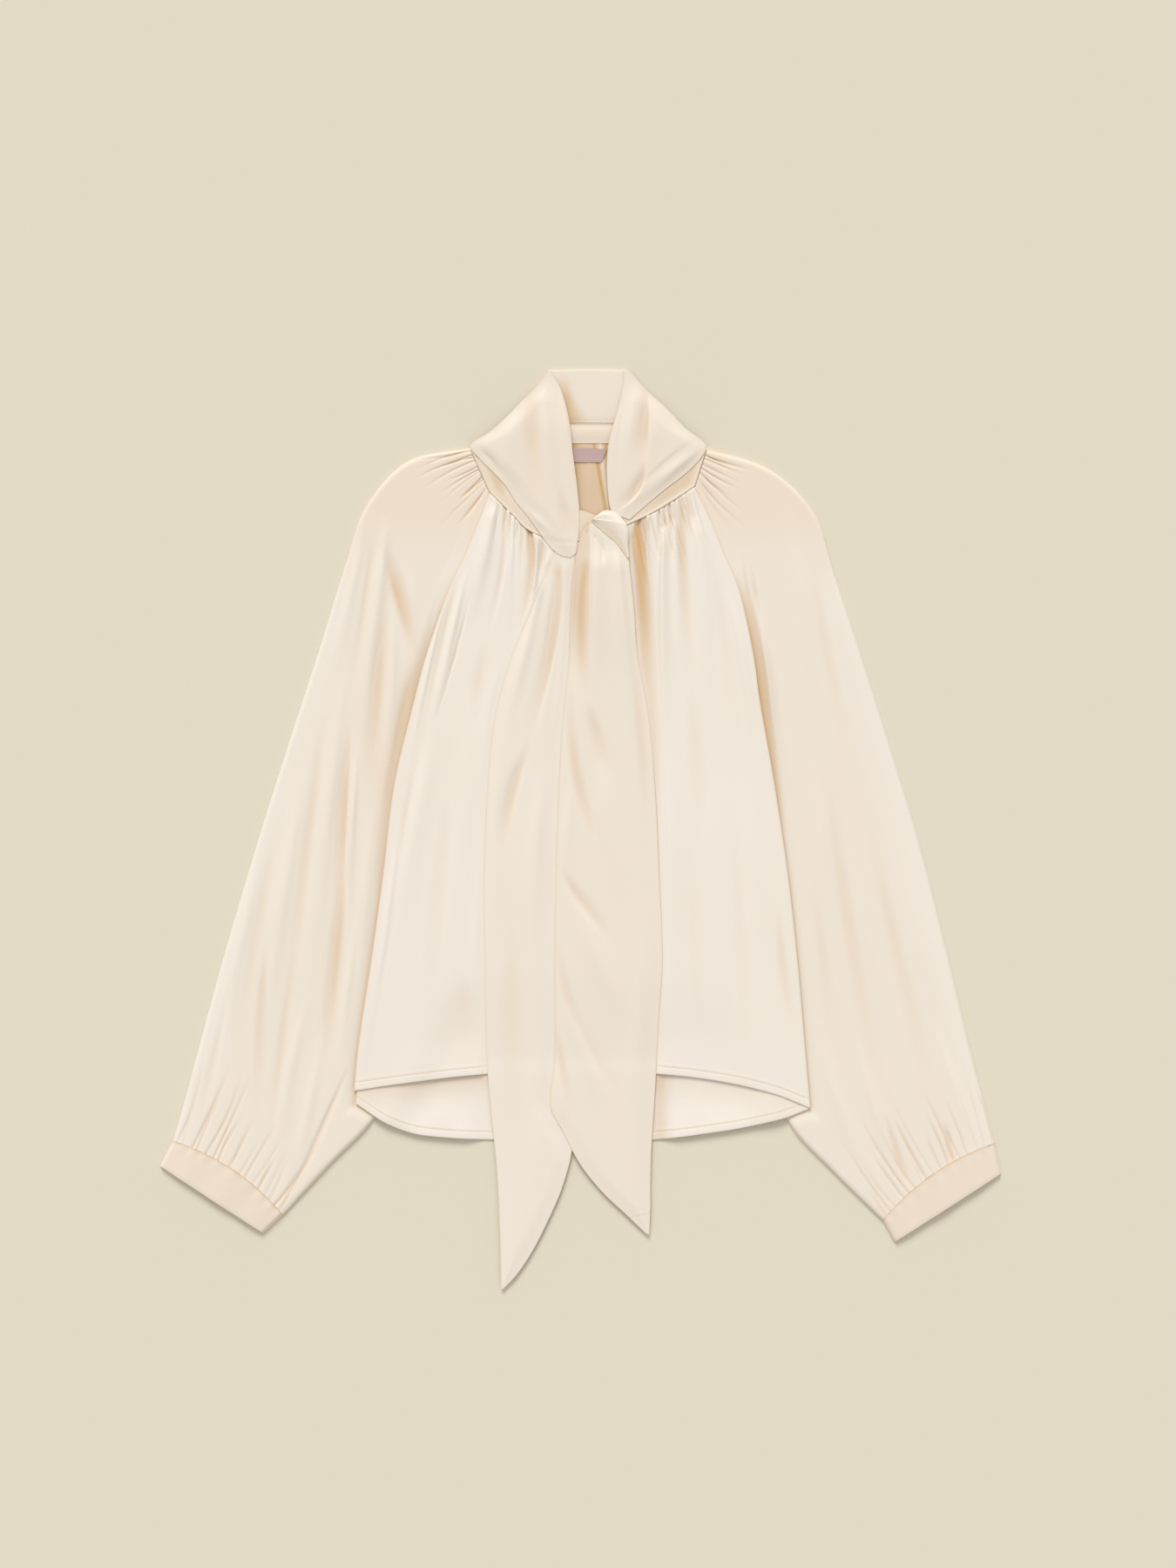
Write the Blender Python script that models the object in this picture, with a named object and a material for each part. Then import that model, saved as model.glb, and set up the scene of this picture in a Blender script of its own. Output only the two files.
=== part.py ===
"""Tie neck blouse laid flat on the floor: one wall solid for each cut piece.

All sizes are in millimetres until a mesh is made, then in metres. Z is up, the
neck points to +Y, and the middle of the neck opening is near x = 0. "left" and
"right" are the sides as seen from above with the neck on top.
"""
from collections import namedtuple

import bmesh
import bpy
import numpy as np

MM = 0.001
MIDDLE_Y = 3.0        # middle of the whole outline, moved to y = 0 in the meshes

# Cloth and seams
WALL = 1.0            # body and sleeve cloth
TIE_WALL = 1.6        # the tie is sewn double
BAND_WALL = 1.2       # neck band and cuffs
SEAM = 0.4            # air between two pieces that meet at a seam
LAY = 0.55            # air between two pieces that lie on each other

# Heights of the layers above the floor
SLEEVE_HID = 2.7      # top of a sleeve where the body lies on it
SLEEVE_OPEN = 3.0     # top of a sleeve where it shows, between its folds
SLEEVE_MAX = 5.9
BACK_LIFT = 3.2       # how far the back rises to pass over a sleeve
NECK_RISE = 2.2       # the front stands higher at the neck band
TIE_BASE_HIGH = 6.6   # underside of the collar part of the tie over the front
TIE_BASE_LOW = 2.7    # underside where it folds over at the back of the neck

# How many cells each piece is divided into
FRONT_CELLS = (50, 16)
BACK_CELLS = (20, 14)
SLEEVE_CELLS = (18, 24)
TAIL_CELLS = (10, 22)
WING_CELLS = (10, 14)

Level = namedtuple("Level", "y left right")
Station = namedtuple("Station", "inner_x inner_y outer_x outer_y bow")
Fold = namedtuple("Fold", "x0 y0 x1 y1 bow width height")

# Width of the body at levels below the neck
BODY = [
    Level(290, -92, 118), Level(256, -106, 132), Level(226, -120, 144.5),
    Level(192, -132, 153), Level(155, -144, 160), Level(124, -152, 164),
    Level(44, -171, 178), Level(-36, -181, 190), Level(-116, -192, 199),
    Level(-196, -204, 206),
]
NECK_LEFT = (-83, 313)
NECK_RIGHT = (104, 318)
NECK_DROP = [(-61, 291), (-49, 279), (-30, 271), (-5, 268), (20, 270), (43, 283),
             (64, 293), (86, 306)]
HEM_LEFT = (-208, -237)
HEM_RIGHT = (211, -253)
FRONT_HEM = [(-161, -230), (-89, -222), (-5, -220), (75, -222), (131, -229), (178, -240)]
BACK_LEFT = (-206, -249)
BACK_RIGHT = (209, -254)
BACK_HEM = [(-176, -268), (-144, -278), (-53, -283), (43, -284), (131, -274), (184, -263)]
BACK_NECK_Y = 357.8

# Sleeves from the neck seam to the cuff seam: both edges of the flattened tube
LEFT_SLEEVE = [
    Station(-80, 311, -101, 354, 0), Station(-98, 260, -159, 340, 0),
    Station(-120, 200, -197, 299, 0), Station(-141, 140, -216, 246, 0),
    Station(-148, 68, -240, 168, 0), Station(-148, -18, -268, 82, 0),
    Station(-149, -104, -297, -10, 0), Station(-158, -198, -326, -108, 0),
    Station(-189, -262, -348, -188, 0), Station(-229, -304, -363, -244, -4),
    Station(-273, -351, -374, -283, -9),
]
RIGHT_SLEEVE = [
    Station(101, 315, 116, 354, 0), Station(120, 268, 175, 332, 0),
    Station(140, 208, 215, 292, 0), Station(155, 148, 233, 238, 0),
    Station(160, 74, 256, 168, 0), Station(161, -12, 283, 82, 0),
    Station(162, -98, 311, -10, 0), Station(169, -196, 338, -116, 0),
    Station(192, -268, 359, -204, 0), Station(231, -311, 371, -250, 4),
    Station(277, -356, 380, -285, 9),
]
UNDERARM_ROW = 5      # of the sleeve cells: above it the sleeve is open to the body
LEFT_CUFF = ((-386, -306), (-291, -368))
RIGHT_CUFF = ((386, -313), (288, -376))

# Seam between the neck band and the tie at the back of the neck
STAND_SEAM = [(-66, 375.4), (10, 377), (84, 375.4)]

# Outer edge (seam) of the neck band, then its width
BAND_SEAM = [(-100, 352), (-92, 335), (-83, 314), (-61, 292), (-49, 280), (-30, 272),
             (-5, 269), (20, 271), (43, 284), (64, 294), (86, 307), (104, 319),
             (108, 335), (114, 352)]
BAND_WIDTH = 17
BAND_MIDDLE = 11      # extra width behind the knot

# The tie, piece by piece: outer and inner edge from the back of the neck forward
LEFT_WING_OUT = [(-36, 421), (-54, 396), (-66, 383), (-84, 367), (-101, 355), (-92, 342),
                 (-80, 330), (-69, 318), (-60, 304), (-48, 289), (-34, 271), (-18, 257),
                 (-8, 252)]
LEFT_WING_IN = [(-27, 423), (-20, 411), (-15, 397), (-10, 375), (-7, 347), (-3, 316),
                (-1, 292), (-2, 272), (-3, 258)]
RIGHT_WING_OUT = [(50, 421), (61, 402), (78, 388), (96, 371), (115, 355), (109, 342),
                  (95, 328), (78, 315), (60, 300), (45, 287)]
RIGHT_WING_IN = [(44, 423), (38, 408), (32, 388), (29, 352), (26, 320), (27, 300), (30, 291)]
TAIL_L_OUT = [(-22, 262), (-31, 240), (-46, 202), (-66, 155), (-80, 100), (-86, 30),
              (-89, -52), (-88, -120), (-87, -187), (-84, -238), (-77, -309), (-74, -371),
              (-73, -419)]
TAIL_L_IN = [(-6, 262), (-3, 200), (-4, 120), (-4, 40), (-4, -60), (-5, -160), (-4, -240),
             (-8, -292), (-17, -326), (-28, -352), (-43, -382), (-58, -405), (-71, -419)]
TAIL_R_OUT = [(8, 282), (0, 256), (-8, 228), (-11, 160), (-18, 84), (-22, -10), (-24, -110),
              (-24, -208), (-28, -250), (-16, -275), (0, -305), (20, -330), (40, -349),
              (60, -368)]
TAIL_R_IN = [(41, 282), (44, 252), (49, 204), (52, 164), (62, 110), (68, 44), (72, -36),
             (75, -116), (72, -166), (68, -242), (65, -289), (64, -320), (64, -345),
             (63, -369)]
KNOT_OUT = [(13, 289), (22, 295), (31, 294), (38, 288), (43, 278), (43, 262)]
KNOT_IN = [(10, 285), (17, 279), (24, 273), (30, 268), (35, 262), (39, 259)]
KNOT_BASE = 9.6
KNOT_RISE = 3.6

# Largest folds, each from its head to its foot. bow is to the right going down.
FRONT_FOLDS = [
    Fold(-52, 292, -55, 172, 9, 5, -1.6), Fold(-41, 276, -40, 205, 2, 5, 2.2),
    Fold(-60, 288, -68, 150, 6, 7, 3.2), Fold(-70, 298, -88, 150, 4, 5, -1.0),
    Fold(-78, 300, -104, 60, 6, 8, 2.6), Fold(-110, 222, -146, 74, 5, 6, 2.6),
    Fold(-100, 224, -134, 90, 5, 5, -0.8), Fold(-96, 200, -130, -200, 8, 13, 2.4),
    Fold(-120, 60, -160, -225, 6, 12, 1.6), Fold(-100, 40, -104, -220, 2, 9, -0.8),
    Fold(56, 290, 66, 70, -3, 8, -2.2), Fold(79, 292, 84, 60, 3, 8, 4.4),
    Fold(84, 60, 90, -210, 2, 12, 2.2), Fold(94, 296, 102, 140, 2, 5, -1.2),
    Fold(107, 290, 122, 110, 3, 8, 3.2), Fold(124, 250, 146, 60, 5, 9, 2.2),
    Fold(112, 120, 120, -210, 3, 13, 1.8), Fold(146, 60, 166, -220, 4, 13, 1.8),
    Fold(134, 60, 142, -200, 3, 8, -0.8),
]
LEFT_SLEEVE_FOLDS = [
    Fold(-181, 300, -190, 200, 4, 9, 2.4), Fold(-165, 296, -132, 190, -3, 8, 2.4),
    Fold(-174, 288, -150, 150, -4, 5, -0.8), Fold(-188, 204, -190, 44, 3, 6, -0.8),
    Fold(-200, 230, -214, 70, 3, 9, 2.2), Fold(-172, 190, -186, 60, 2, 8, 2.0),
    Fold(-204, 80, -208, -90, 3, 6, 2.8), Fold(-213, 76, -218, -80, 3, 4, -1.0),
    Fold(-216, 0, -234, -210, 4, 7, -1.2), Fold(-236, 40, -254, -230, 5, 9, 2.6),
    Fold(-253, 4, -270, -236, 3, 6, -0.8), Fold(-268, 10, -290, -262, 4, 9, 2.2),
    Fold(-222, -110, -250, -290, 2, 7, 2.2), Fold(-300, -90, -326, -262, 3, 9, 1.8),
]
RIGHT_SLEEVE_FOLDS = [
    Fold(165, 214, 190, 74, 3, 6, 3.2), Fold(190, 74, 222, -250, 4, 8, 2.4),
    Fold(178, 190, 214, -20, 4, 7, -0.9), Fold(196, 290, 236, 130, 8, 11, 2.4),
    Fold(226, 240, 262, 10, 6, 12, 2.4), Fold(216, 120, 246, -120, 4, 8, -0.9),
    Fold(240, -10, 282, -250, 6, 10, 2.4), Fold(250, -162, 302, -322, -5, 6, -1.0),
    Fold(272, 20, 322, -220, 6, 13, 2.2), Fold(300, -150, 330, -300, 3, 8, 1.8),
    Fold(232, -190, 286, -330, -4, 7, 2.0), Fold(320, -262, 344, -306, 0, 5, -0.8),
]
TAIL_L_FOLDS = [
    Fold(-20, 250, -22, 120, 2, 4, 3.0), Fold(-26, 230, -72, 20, 8, 6, -0.4),
    Fold(-44, 196, -74, 40, 5, 7, 2.4), Fold(-30, 120, -50, -120, 4, 9, 1.8),
    Fold(-62, -20, -66, -300, 2, 10, 1.2),
]
TAIL_R_FOLDS = [
    Fold(12, 270, 22, 60, 4, 6, 2.6), Fold(36, 270, 52, 60, 3, 7, 2.6),
    Fold(2, 210, 8, 100, -3, 4, -0.5), Fold(-8, 120, 30, -40, -6, 6, -0.5),
    Fold(20, 60, 48, -160, 4, 9, 2.0), Fold(-14, -40, 34, -100, 2, 5, -0.5),
    Fold(-6, -110, 6, -260, 3, 8, 1.4), Fold(50, -60, 50, -300, 3, 9, 1.6),
]
LEFT_WING_FOLDS = [
    Fold(-60, 380, -30, 292, 5, 8, 2.6), Fold(-78, 362, -50, 306, 3, 5, 1.6),
    Fold(-52, 362, -40, 310, 3, 5, -0.6), Fold(-30, 396, -18, 300, 3, 8, 2.6),
]
RIGHT_WING_FOLDS = [
    Fold(48, 400, 44, 316, 2, 7, 2.8), Fold(62, 398, 60, 318, 2, 5, -0.8),
    Fold(80, 378, 62, 318, 2, 8, 2.8), Fold(98, 362, 66, 312, 2, 5, 1.6),
]

# Gathers: height of the pleated edge and the length over which it lets go
NECK_GATHER = (0.8, 62)
HEAD_GATHER = (0.7, 60)
CUFF_GATHER = (0.8, 52)

CREAM = (0.94, 0.895, 0.83)
TIE_CREAM = (0.945, 0.90, 0.84)
BAND_CREAM = (0.91, 0.85, 0.775)
LABEL_PINK = (0.77, 0.68, 0.665)


def smooth(value, low, high):
    """0 at low, 1 at high, with soft ends."""
    share = np.clip((np.asarray(value, float) - low) / (high - low), 0.0, 1.0)
    return share * share * (3.0 - 2.0 * share)


def spline(rows, at):
    """Smooth curve through the rows, read at shares 0..1 of its length."""
    pts = np.array(rows, float)
    pairs = pts.reshape(len(pts), -1)[:, : 4 if pts.shape[1] > 3 else 2]
    step = np.sqrt((np.diff(pairs, axis=0) ** 2).sum(axis=1))
    place = np.concatenate([[0.0], np.cumsum(step)])
    slope = np.empty_like(pts)
    slope[1:-1] = (pts[2:] - pts[:-2]) / (place[2:] - place[:-2])[:, None]
    slope[0] = (pts[1] - pts[0]) / step[0]
    slope[-1] = (pts[-1] - pts[-2]) / step[-1]
    run = np.asarray(at, float) * place[-1]
    k = np.clip(np.searchsorted(place, run, side="right") - 1, 0, len(step) - 1)
    size = step[k][:, None]
    f = (run - place[k])[:, None] / size
    return ((1 + 2 * f) * (1 - f) ** 2 * pts[k] + f * (1 - f) ** 2 * size * slope[k]
            + f ** 2 * (3 - 2 * f) * pts[k + 1] + f ** 2 * (f - 1) * size * slope[k + 1])


def patch(left, right, top, bottom, across, along):
    """Plan points filled in between four edge curves: rows go down, columns across."""
    lt = spline(left, along)[:, None, :]
    rt = spline(right, along)[:, None, :]
    tp = spline(top, across)[None, :, :]
    bt = spline(bottom, across)[None, :, :]
    s = across[None, :, None]
    t = along[:, None, None]
    corner = ((1 - s) * (1 - t) * tp[:, :1] + s * (1 - t) * tp[:, -1:]
              + (1 - s) * t * bt[:, :1] + s * t * bt[:, -1:])
    grid = (1 - t) * tp + t * bt + (1 - s) * lt + s * rt - corner
    return grid[:, :, 0], grid[:, :, 1]


def fold_sum(x, y, table):
    """Height of all folds of a table at each point."""
    total = np.zeros_like(x)
    steps = np.linspace(0.0, 1.0, 9)
    for f in table:
        dx, dy = f.x1 - f.x0, f.y1 - f.y0
        size = np.hypot(dx, dy)
        sag = f.bow * 4 * steps * (1 - steps)
        cx = f.x0 + dx * steps - dy / size * sag
        cy = f.y0 + dy * steps + dx / size * sag
        best = np.full_like(x, 1e9)
        along = np.zeros_like(x)
        for i in range(len(steps) - 1):
            ex, ey = cx[i + 1] - cx[i], cy[i + 1] - cy[i]
            part = ((x - cx[i]) * ex + (y - cy[i]) * ey) / (ex * ex + ey * ey)
            part = np.clip(part, 0.0, 1.0)
            gap = np.hypot(x - cx[i] - part * ex, y - cy[i] - part * ey)
            near = gap < best
            best = np.where(near, gap, best)
            along = np.where(near, steps[i] + part * (steps[i + 1] - steps[i]), along)
        fade = smooth(along, -0.12, 0.12) * (1 - smooth(along, 0.6, 1.05))
        total += f.height * np.exp(-((best / f.width) ** 2)) * fade
    return total


def level_edge(side, y):
    """Edge of the body at height y, between the rows of its table."""
    rows = sorted((row.y, getattr(row, side)) for row in BODY)
    return np.interp(y, [r[0] for r in rows], [r[1] for r in rows])


def outside_body(x, y):
    """How far a point lies outside the body panels; negative inside."""
    hem = np.interp(x, [BACK_LEFT[0]] + [p[0] for p in BACK_HEM] + [BACK_RIGHT[0]],
                    [BACK_LEFT[1]] + [p[1] for p in BACK_HEM] + [BACK_RIGHT[1]])
    left = level_edge("left", y) - x
    right = x - level_edge("right", y)
    return np.maximum(np.maximum(left, right), hem - y)


def inner_line(table, y):
    """x of the hidden inner edge of a sleeve at height y."""
    edge = spline(table, np.linspace(1.0, 0.0, 73))
    return np.interp(y, edge[:, 1], edge[:, 0])


def over_sleeve(x, y):
    """1 where a sleeve lies under the body, 0 in the middle of the body."""
    left = 1 - smooth(x - inner_line(LEFT_SLEEVE, y), 5, 40)
    right = 1 - smooth(inner_line(RIGHT_SLEEVE, y) - x, 5, 40)
    return np.maximum(left, right)


def tie_cover(x, y):
    """1 under the hanging ends and the knot, so that the front lies smooth there."""
    rows = [(-222, -87, 70), (-116, -90, 76), (4, -89, 72), (56, -86, 68), (129, -77, 60),
            (180, -57, 52), (216, -42, 49), (240, -32, 47), (270, -36, 44), (292, -56, 52),
            (316, -70, 80)]
    left = np.interp(y, [r[0] for r in rows], [r[1] for r in rows])
    right = np.interp(y, [r[0] for r in rows], [r[2] for r in rows])
    return smooth(x, left - 12, left - 3) * (1 - smooth(x, right + 3, right + 12))


def back_under(x, y):
    """Underside of the back: flat on the floor, lifted where it passes over a sleeve."""
    return BACK_LIFT * over_sleeve(x, y) * (1 - smooth(y, 138, 180))


def front_floor(x, y):
    """Lowest height for the top of the front."""
    return 2 * WALL + LAY + BACK_LIFT * over_sleeve(x, y)


def front_calm(x, y):
    return front_floor(x, y) + NECK_RISE * smooth(y, 190, 275) * (1 - over_sleeve(x, y))


def front_top(x, y, s, t):
    size, reach = NECK_GATHER
    count = FRONT_CELLS[0] / 2
    pleats = size * np.cos(2 * np.pi * count * s) * np.exp(-((t * 560 / reach) ** 2))
    shape = front_calm(x, y) + (fold_sum(x, y, FRONT_FOLDS) + pleats) * (1 - tie_cover(x, y))
    return np.maximum(shape, front_floor(x, y))


def sleeve_top(x, y, s, t, table):
    open_part = smooth(outside_body(x, y), 6, 19)
    count = SLEEVE_CELLS[0] / 2
    length = 760
    head = HEAD_GATHER[0] * np.exp(-((t * length / HEAD_GATHER[1]) ** 2))
    wrist = CUFF_GATHER[0] * np.exp(-(((1 - t) * length / CUFF_GATHER[1]) ** 2))
    pleats = (head + wrist) * (1 + np.cos(2 * np.pi * count * s))
    rim = smooth(s, 0.0, 0.07) * (1 - smooth(s, 0.93, 1.0))
    lift = (SLEEVE_OPEN - SLEEVE_HID + 0.5 + fold_sum(x, y, table) + pleats) * rim
    return np.clip(SLEEVE_HID + open_part * lift, SLEEVE_HID, SLEEVE_MAX)


def tie_ground(x, y):
    """What the hanging ends lie on: front, then back hem, then floor."""
    body = front_calm(x, y) + LAY
    back = WALL + LAY
    low = body + (back - body) * smooth(-y, 227, 256)
    return low * (1 - smooth(-y, 288, 326))


def tail_left_top(x, y):
    cover = np.interp(-y, [-p[1] for p in TAIL_R_OUT], [p[0] for p in TAIL_R_OUT])
    free = 1 - smooth(x, cover - 13, cover - 3)
    free = np.where(y < -300, 1.0, free)
    free = free * (1 - smooth(y, 225, 250))
    return tie_ground(x, y) + TIE_WALL + fold_sum(x, y, TAIL_L_FOLDS) * free


def tail_right_top(x, y):
    on_left = (1 - smooth(x, 0, 22)) * (1 - smooth(-y, 322, 350))
    stack = (TIE_WALL + LAY) * np.maximum(on_left, smooth(y, 236, 262))
    calm = 1 - smooth(y, 240, 262)
    rise = fold_sum(x, y, TAIL_R_FOLDS) * calm + 0.6 * calm
    return tie_ground(x, y) + stack + TIE_WALL + np.maximum(rise, 0.0)


def wing_top(x, y, table, end_y):
    base = TIE_BASE_LOW + (TIE_BASE_HIGH - TIE_BASE_LOW) * smooth(424 - y, 0, 66)
    base = base + 1.3 * (1 - smooth(y, end_y - 12, end_y + 26)) * (np.abs(x + 20) < 45)
    return base + TIE_WALL + np.maximum(fold_sum(x, y, table), -0.2) * smooth(y, 268, 300)


def mesh_object(name, verts, faces, colour):
    mesh = bpy.data.meshes.new(name)
    points = [(float(x) * MM, (float(y) - MIDDLE_Y) * MM, max(float(z), 0.0) * MM)
              for x, y, z in verts]
    mesh.from_pydata(points, [], faces)
    shape = bmesh.new()
    shape.from_mesh(mesh)
    bmesh.ops.recalc_face_normals(shape, faces=shape.faces)
    if shape.calc_volume(signed=True) < 0:
        bmesh.ops.reverse_faces(shape, faces=shape.faces)
    bmesh.ops.triangulate(shape, faces=shape.faces)
    shape.to_mesh(mesh)
    shape.free()
    obj = bpy.data.objects.new(name, mesh)
    bpy.context.scene.collection.objects.link(obj)
    material = bpy.data.materials.new(name + "_cloth")
    material.use_nodes = True
    shader = material.node_tree.nodes["Principled BSDF"]
    shader.inputs["Base Color"].default_value = (*[c ** 2.2 for c in colour], 1.0)
    shader.inputs["Roughness"].default_value = 0.75
    shader.inputs["Metallic"].default_value = 0.0
    mesh.materials.append(material)
    return obj


def wall_drop(x, y, z, wall):
    """Depth of a wall measured straight down, a little more on a slope."""
    zr, zc = np.gradient(z)
    xr, xc = np.gradient(x)
    yr, yc = np.gradient(y)
    det = xr * yc - xc * yr
    det = np.where(np.abs(det) < 1e-9, 1e-9, det)
    gx = (zr * yc - zc * yr) / det
    gy = (xr * zc - xc * zr) / det
    return wall * np.clip(np.sqrt(1 + gx ** 2 + gy ** 2), 1.0, 1.25)


def slab(name, x, y, top, under, colour):
    """Closed solid between a top and an underside on one grid of plan points."""
    rows, cols = x.shape
    count = rows * cols
    verts = list(zip(x.ravel(), y.ravel(), top.ravel()))
    verts += list(zip(x.ravel(), y.ravel(), under.ravel()))
    at = np.arange(count).reshape(rows, cols)
    faces = []
    for i in range(rows - 1):
        for j in range(cols - 1):
            quad = (at[i, j], at[i + 1, j], at[i + 1, j + 1], at[i, j + 1])
            faces.append(quad)
            faces.append(tuple(q + count for q in reversed(quad)))
    rim = list(at[0, :]) + list(at[1:, -1]) + list(at[-1, -2::-1]) + list(at[-2:0:-1, 0])
    for a, b in zip(rim, rim[1:] + rim[:1]):
        faces.append((a, b, b + count, a + count))
    return mesh_object(name, verts, [tuple(int(v) for v in f) for f in faces], colour)


def cells(count, power=1.0):
    return np.linspace(0.0, 1.0, count + 1) ** power


def strip(name, out_edge, in_edge, size, height, wall, colour):
    """A strip of tie between two edge curves, with its height read from a function."""
    across, along = cells(size[0]), cells(size[1])
    a = spline(out_edge, along)[:, None, :]
    b = spline(in_edge, along)[:, None, :]
    s = across[None, :, None]
    grid = a * (1 - s) + b * s
    x, y = grid[:, :, 0], grid[:, :, 1]
    top = height(x, y)
    return slab(name, x, y, top, top - wall_drop(x, y, top, wall), colour)


def tube(name, inner, outer, bow, top_height, cells_across, open_rows, wall, colour):
    """Flattened sleeve: floor wall, fold at the outer edge, top wall back to the inner edge.

    Above row open_rows the inner edge is left open, where the sleeve joins the body.
    """
    rows = len(inner)
    across = cells(cells_across)
    s = across[None, :, None]
    chord = outer - inner
    side = np.stack([-chord[:, 1], chord[:, 0]], axis=1)
    side = side / np.hypot(side[:, 0], side[:, 1])[:, None]
    lean = (4 * s * (1 - s)) * (bow[:, None] * side)[:, None, :]
    grid = inner[:, None, :] * (1 - s) + outer[:, None, :] * s + lean
    x, y = grid[:, :, 0], grid[:, :, 1]
    t = np.linspace(0, 1, rows)[:, None] * np.ones_like(x)
    top = top_height(x, y, across[None, :] * np.ones_like(x), t)
    under = top - wall_drop(x, y, top, wall)
    width = np.hypot(chord[:, 0], chord[:, 1])
    inset = wall * 1.1 / width
    floor_at = np.linspace(0.0, 1.0, 5)

    def level(share):
        """Plan point of each row at a share of the way across."""
        share = np.broadcast_to(share, (rows,))[:, None]
        curve = 4 * share * (1 - share) * bow[:, None] * side
        return inner * (1 - share) + outer * share + curve

    def place(points, z):
        return np.column_stack([points, np.broadcast_to(z, (rows,))])

    outside, inside = [], []
    for j in range(cells_across):
        share = np.full(rows, across[j]) if j else np.full(rows, 0.0) + 1.2 / width
        outside.append(place(level(share), top[:, j]))
        held = share if j else inset + 1.2 / width
        inside.append(place(level(held), under[:, j]))
    outside.append(place(level(1 - 1.2 / width), top[:, -1]))
    inside.append(place(level(1 - inset - 1.2 / width), under[:, -1]))
    outside.append(place(level(1.0), 0.5 * top[:, -1]))
    inside.append(place(level(1 - inset), 0.5 * top[:, -1]))
    for share in floor_at[::-1]:
        edge = np.clip(share, 1.2 / width, 1 - 1.2 / width)
        outside.append(place(level(edge), 0.0))
        edge = np.clip(share, inset + 1.2 / width, 1 - inset - 1.2 / width)
        inside.append(place(level(edge), wall))
    outside.append(place(level(0.0), 0.5 * SLEEVE_HID))
    inside.append(place(level(inset), 0.5 * SLEEVE_HID))
    ring = len(outside)
    verts, index = [], {}

    def vert(layer, i, j):
        """The last point closes the ring, except above the underarm."""
        key = (layer, i, j)
        if key not in index:
            index[key] = len(verts)
            verts.append((outside if layer == 0 else inside)[j][i])
        return index[key]

    faces = []
    for i in range(rows - 1):
        closed = i >= open_rows
        for j in range(ring if closed else ring - 2):
            k = (j + 1) % ring
            faces.append((vert(0, i, j), vert(0, i + 1, j), vert(0, i + 1, k), vert(0, i, k)))
            faces.append((vert(1, i, k), vert(1, i + 1, k), vert(1, i + 1, j), vert(1, i, j)))
        if not closed:
            for j in (0, ring - 2):
                faces.append((vert(0, i, j), vert(1, i, j), vert(1, i + 1, j),
                              vert(0, i + 1, j)))
    if open_rows > 0:
        i = open_rows
        j, k = ring - 2, 0
        faces.append((vert(0, i, j), vert(0, i, ring - 1), vert(1, i, ring - 1), vert(1, i, j)))
        faces.append((vert(0, i, ring - 1), vert(0, i, k), vert(1, i, k), vert(1, i, ring - 1)))
    for i in (0, rows - 1):
        closed = open_rows == 0 or i == rows - 1
        for j in range(ring if closed else ring - 2):
            k = (j + 1) % ring
            faces.append((vert(0, i, j), vert(0, i, k), vert(1, i, k), vert(1, i, j)))
    return mesh_object(name, verts, faces, colour)


def build_front():
    across, along = cells(FRONT_CELLS[0]), cells(FRONT_CELLS[1], 1.25)
    left = [NECK_LEFT] + [(r.left, r.y) for r in BODY] + [HEM_LEFT]
    right = [NECK_RIGHT] + [(r.right, r.y) for r in BODY] + [HEM_RIGHT]
    top = [NECK_LEFT] + NECK_DROP + [NECK_RIGHT]
    hem = [HEM_LEFT] + FRONT_HEM + [HEM_RIGHT]
    x, y = patch(left, right, top, hem, across, along)
    s, t = np.meshgrid(across, along)
    z = front_top(x, y, s, t)
    slab("front", x, y, z, z - wall_drop(x, y, z, WALL), CREAM)


def build_back():
    """Inside the side edges of the front, clear of the sleeve above the underarm."""
    across, along = cells(BACK_CELLS[0]), cells(BACK_CELLS[1])

    def side(table, name, sign):
        rows = []
        for y in (330, 290, 240, 190, 150, 124):
            edge = float(inner_line(table, y))
            rows.append((edge + sign * 4.5, y))
        for y in (100, 44, -36, -116, -196):
            rows.append((float(level_edge(name, y)) + sign * 1.5, y))
        return rows

    neck_l, neck_r = (-76, 352), (96, 352)
    left = [neck_l] + side(LEFT_SLEEVE, "left", 1) + [BACK_LEFT]
    right = [neck_r] + side(RIGHT_SLEEVE, "right", -1) + [BACK_RIGHT]
    top = [neck_l, (-40, BACK_NECK_Y - 1), (10, BACK_NECK_Y), (60, BACK_NECK_Y - 1), neck_r]
    hem = [BACK_LEFT] + BACK_HEM + [BACK_RIGHT]
    x, y = patch(left, right, top, hem, across, along)
    under = back_under(x, y)
    slab("back", x, y, under + WALL, under, CREAM)


def build_sleeve(name, table, folds, sign):
    rows = np.array(spline(table, cells(SLEEVE_CELLS[1])))
    inner, outer = rows[:, 0:2], rows[:, 2:4]

    def height(x, y, s, t):
        return sleeve_top(x, y, s, t, folds)

    tube(name, inner, outer, rows[:, 4], height, SLEEVE_CELLS[0], UNDERARM_ROW, WALL, CREAM)


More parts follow.
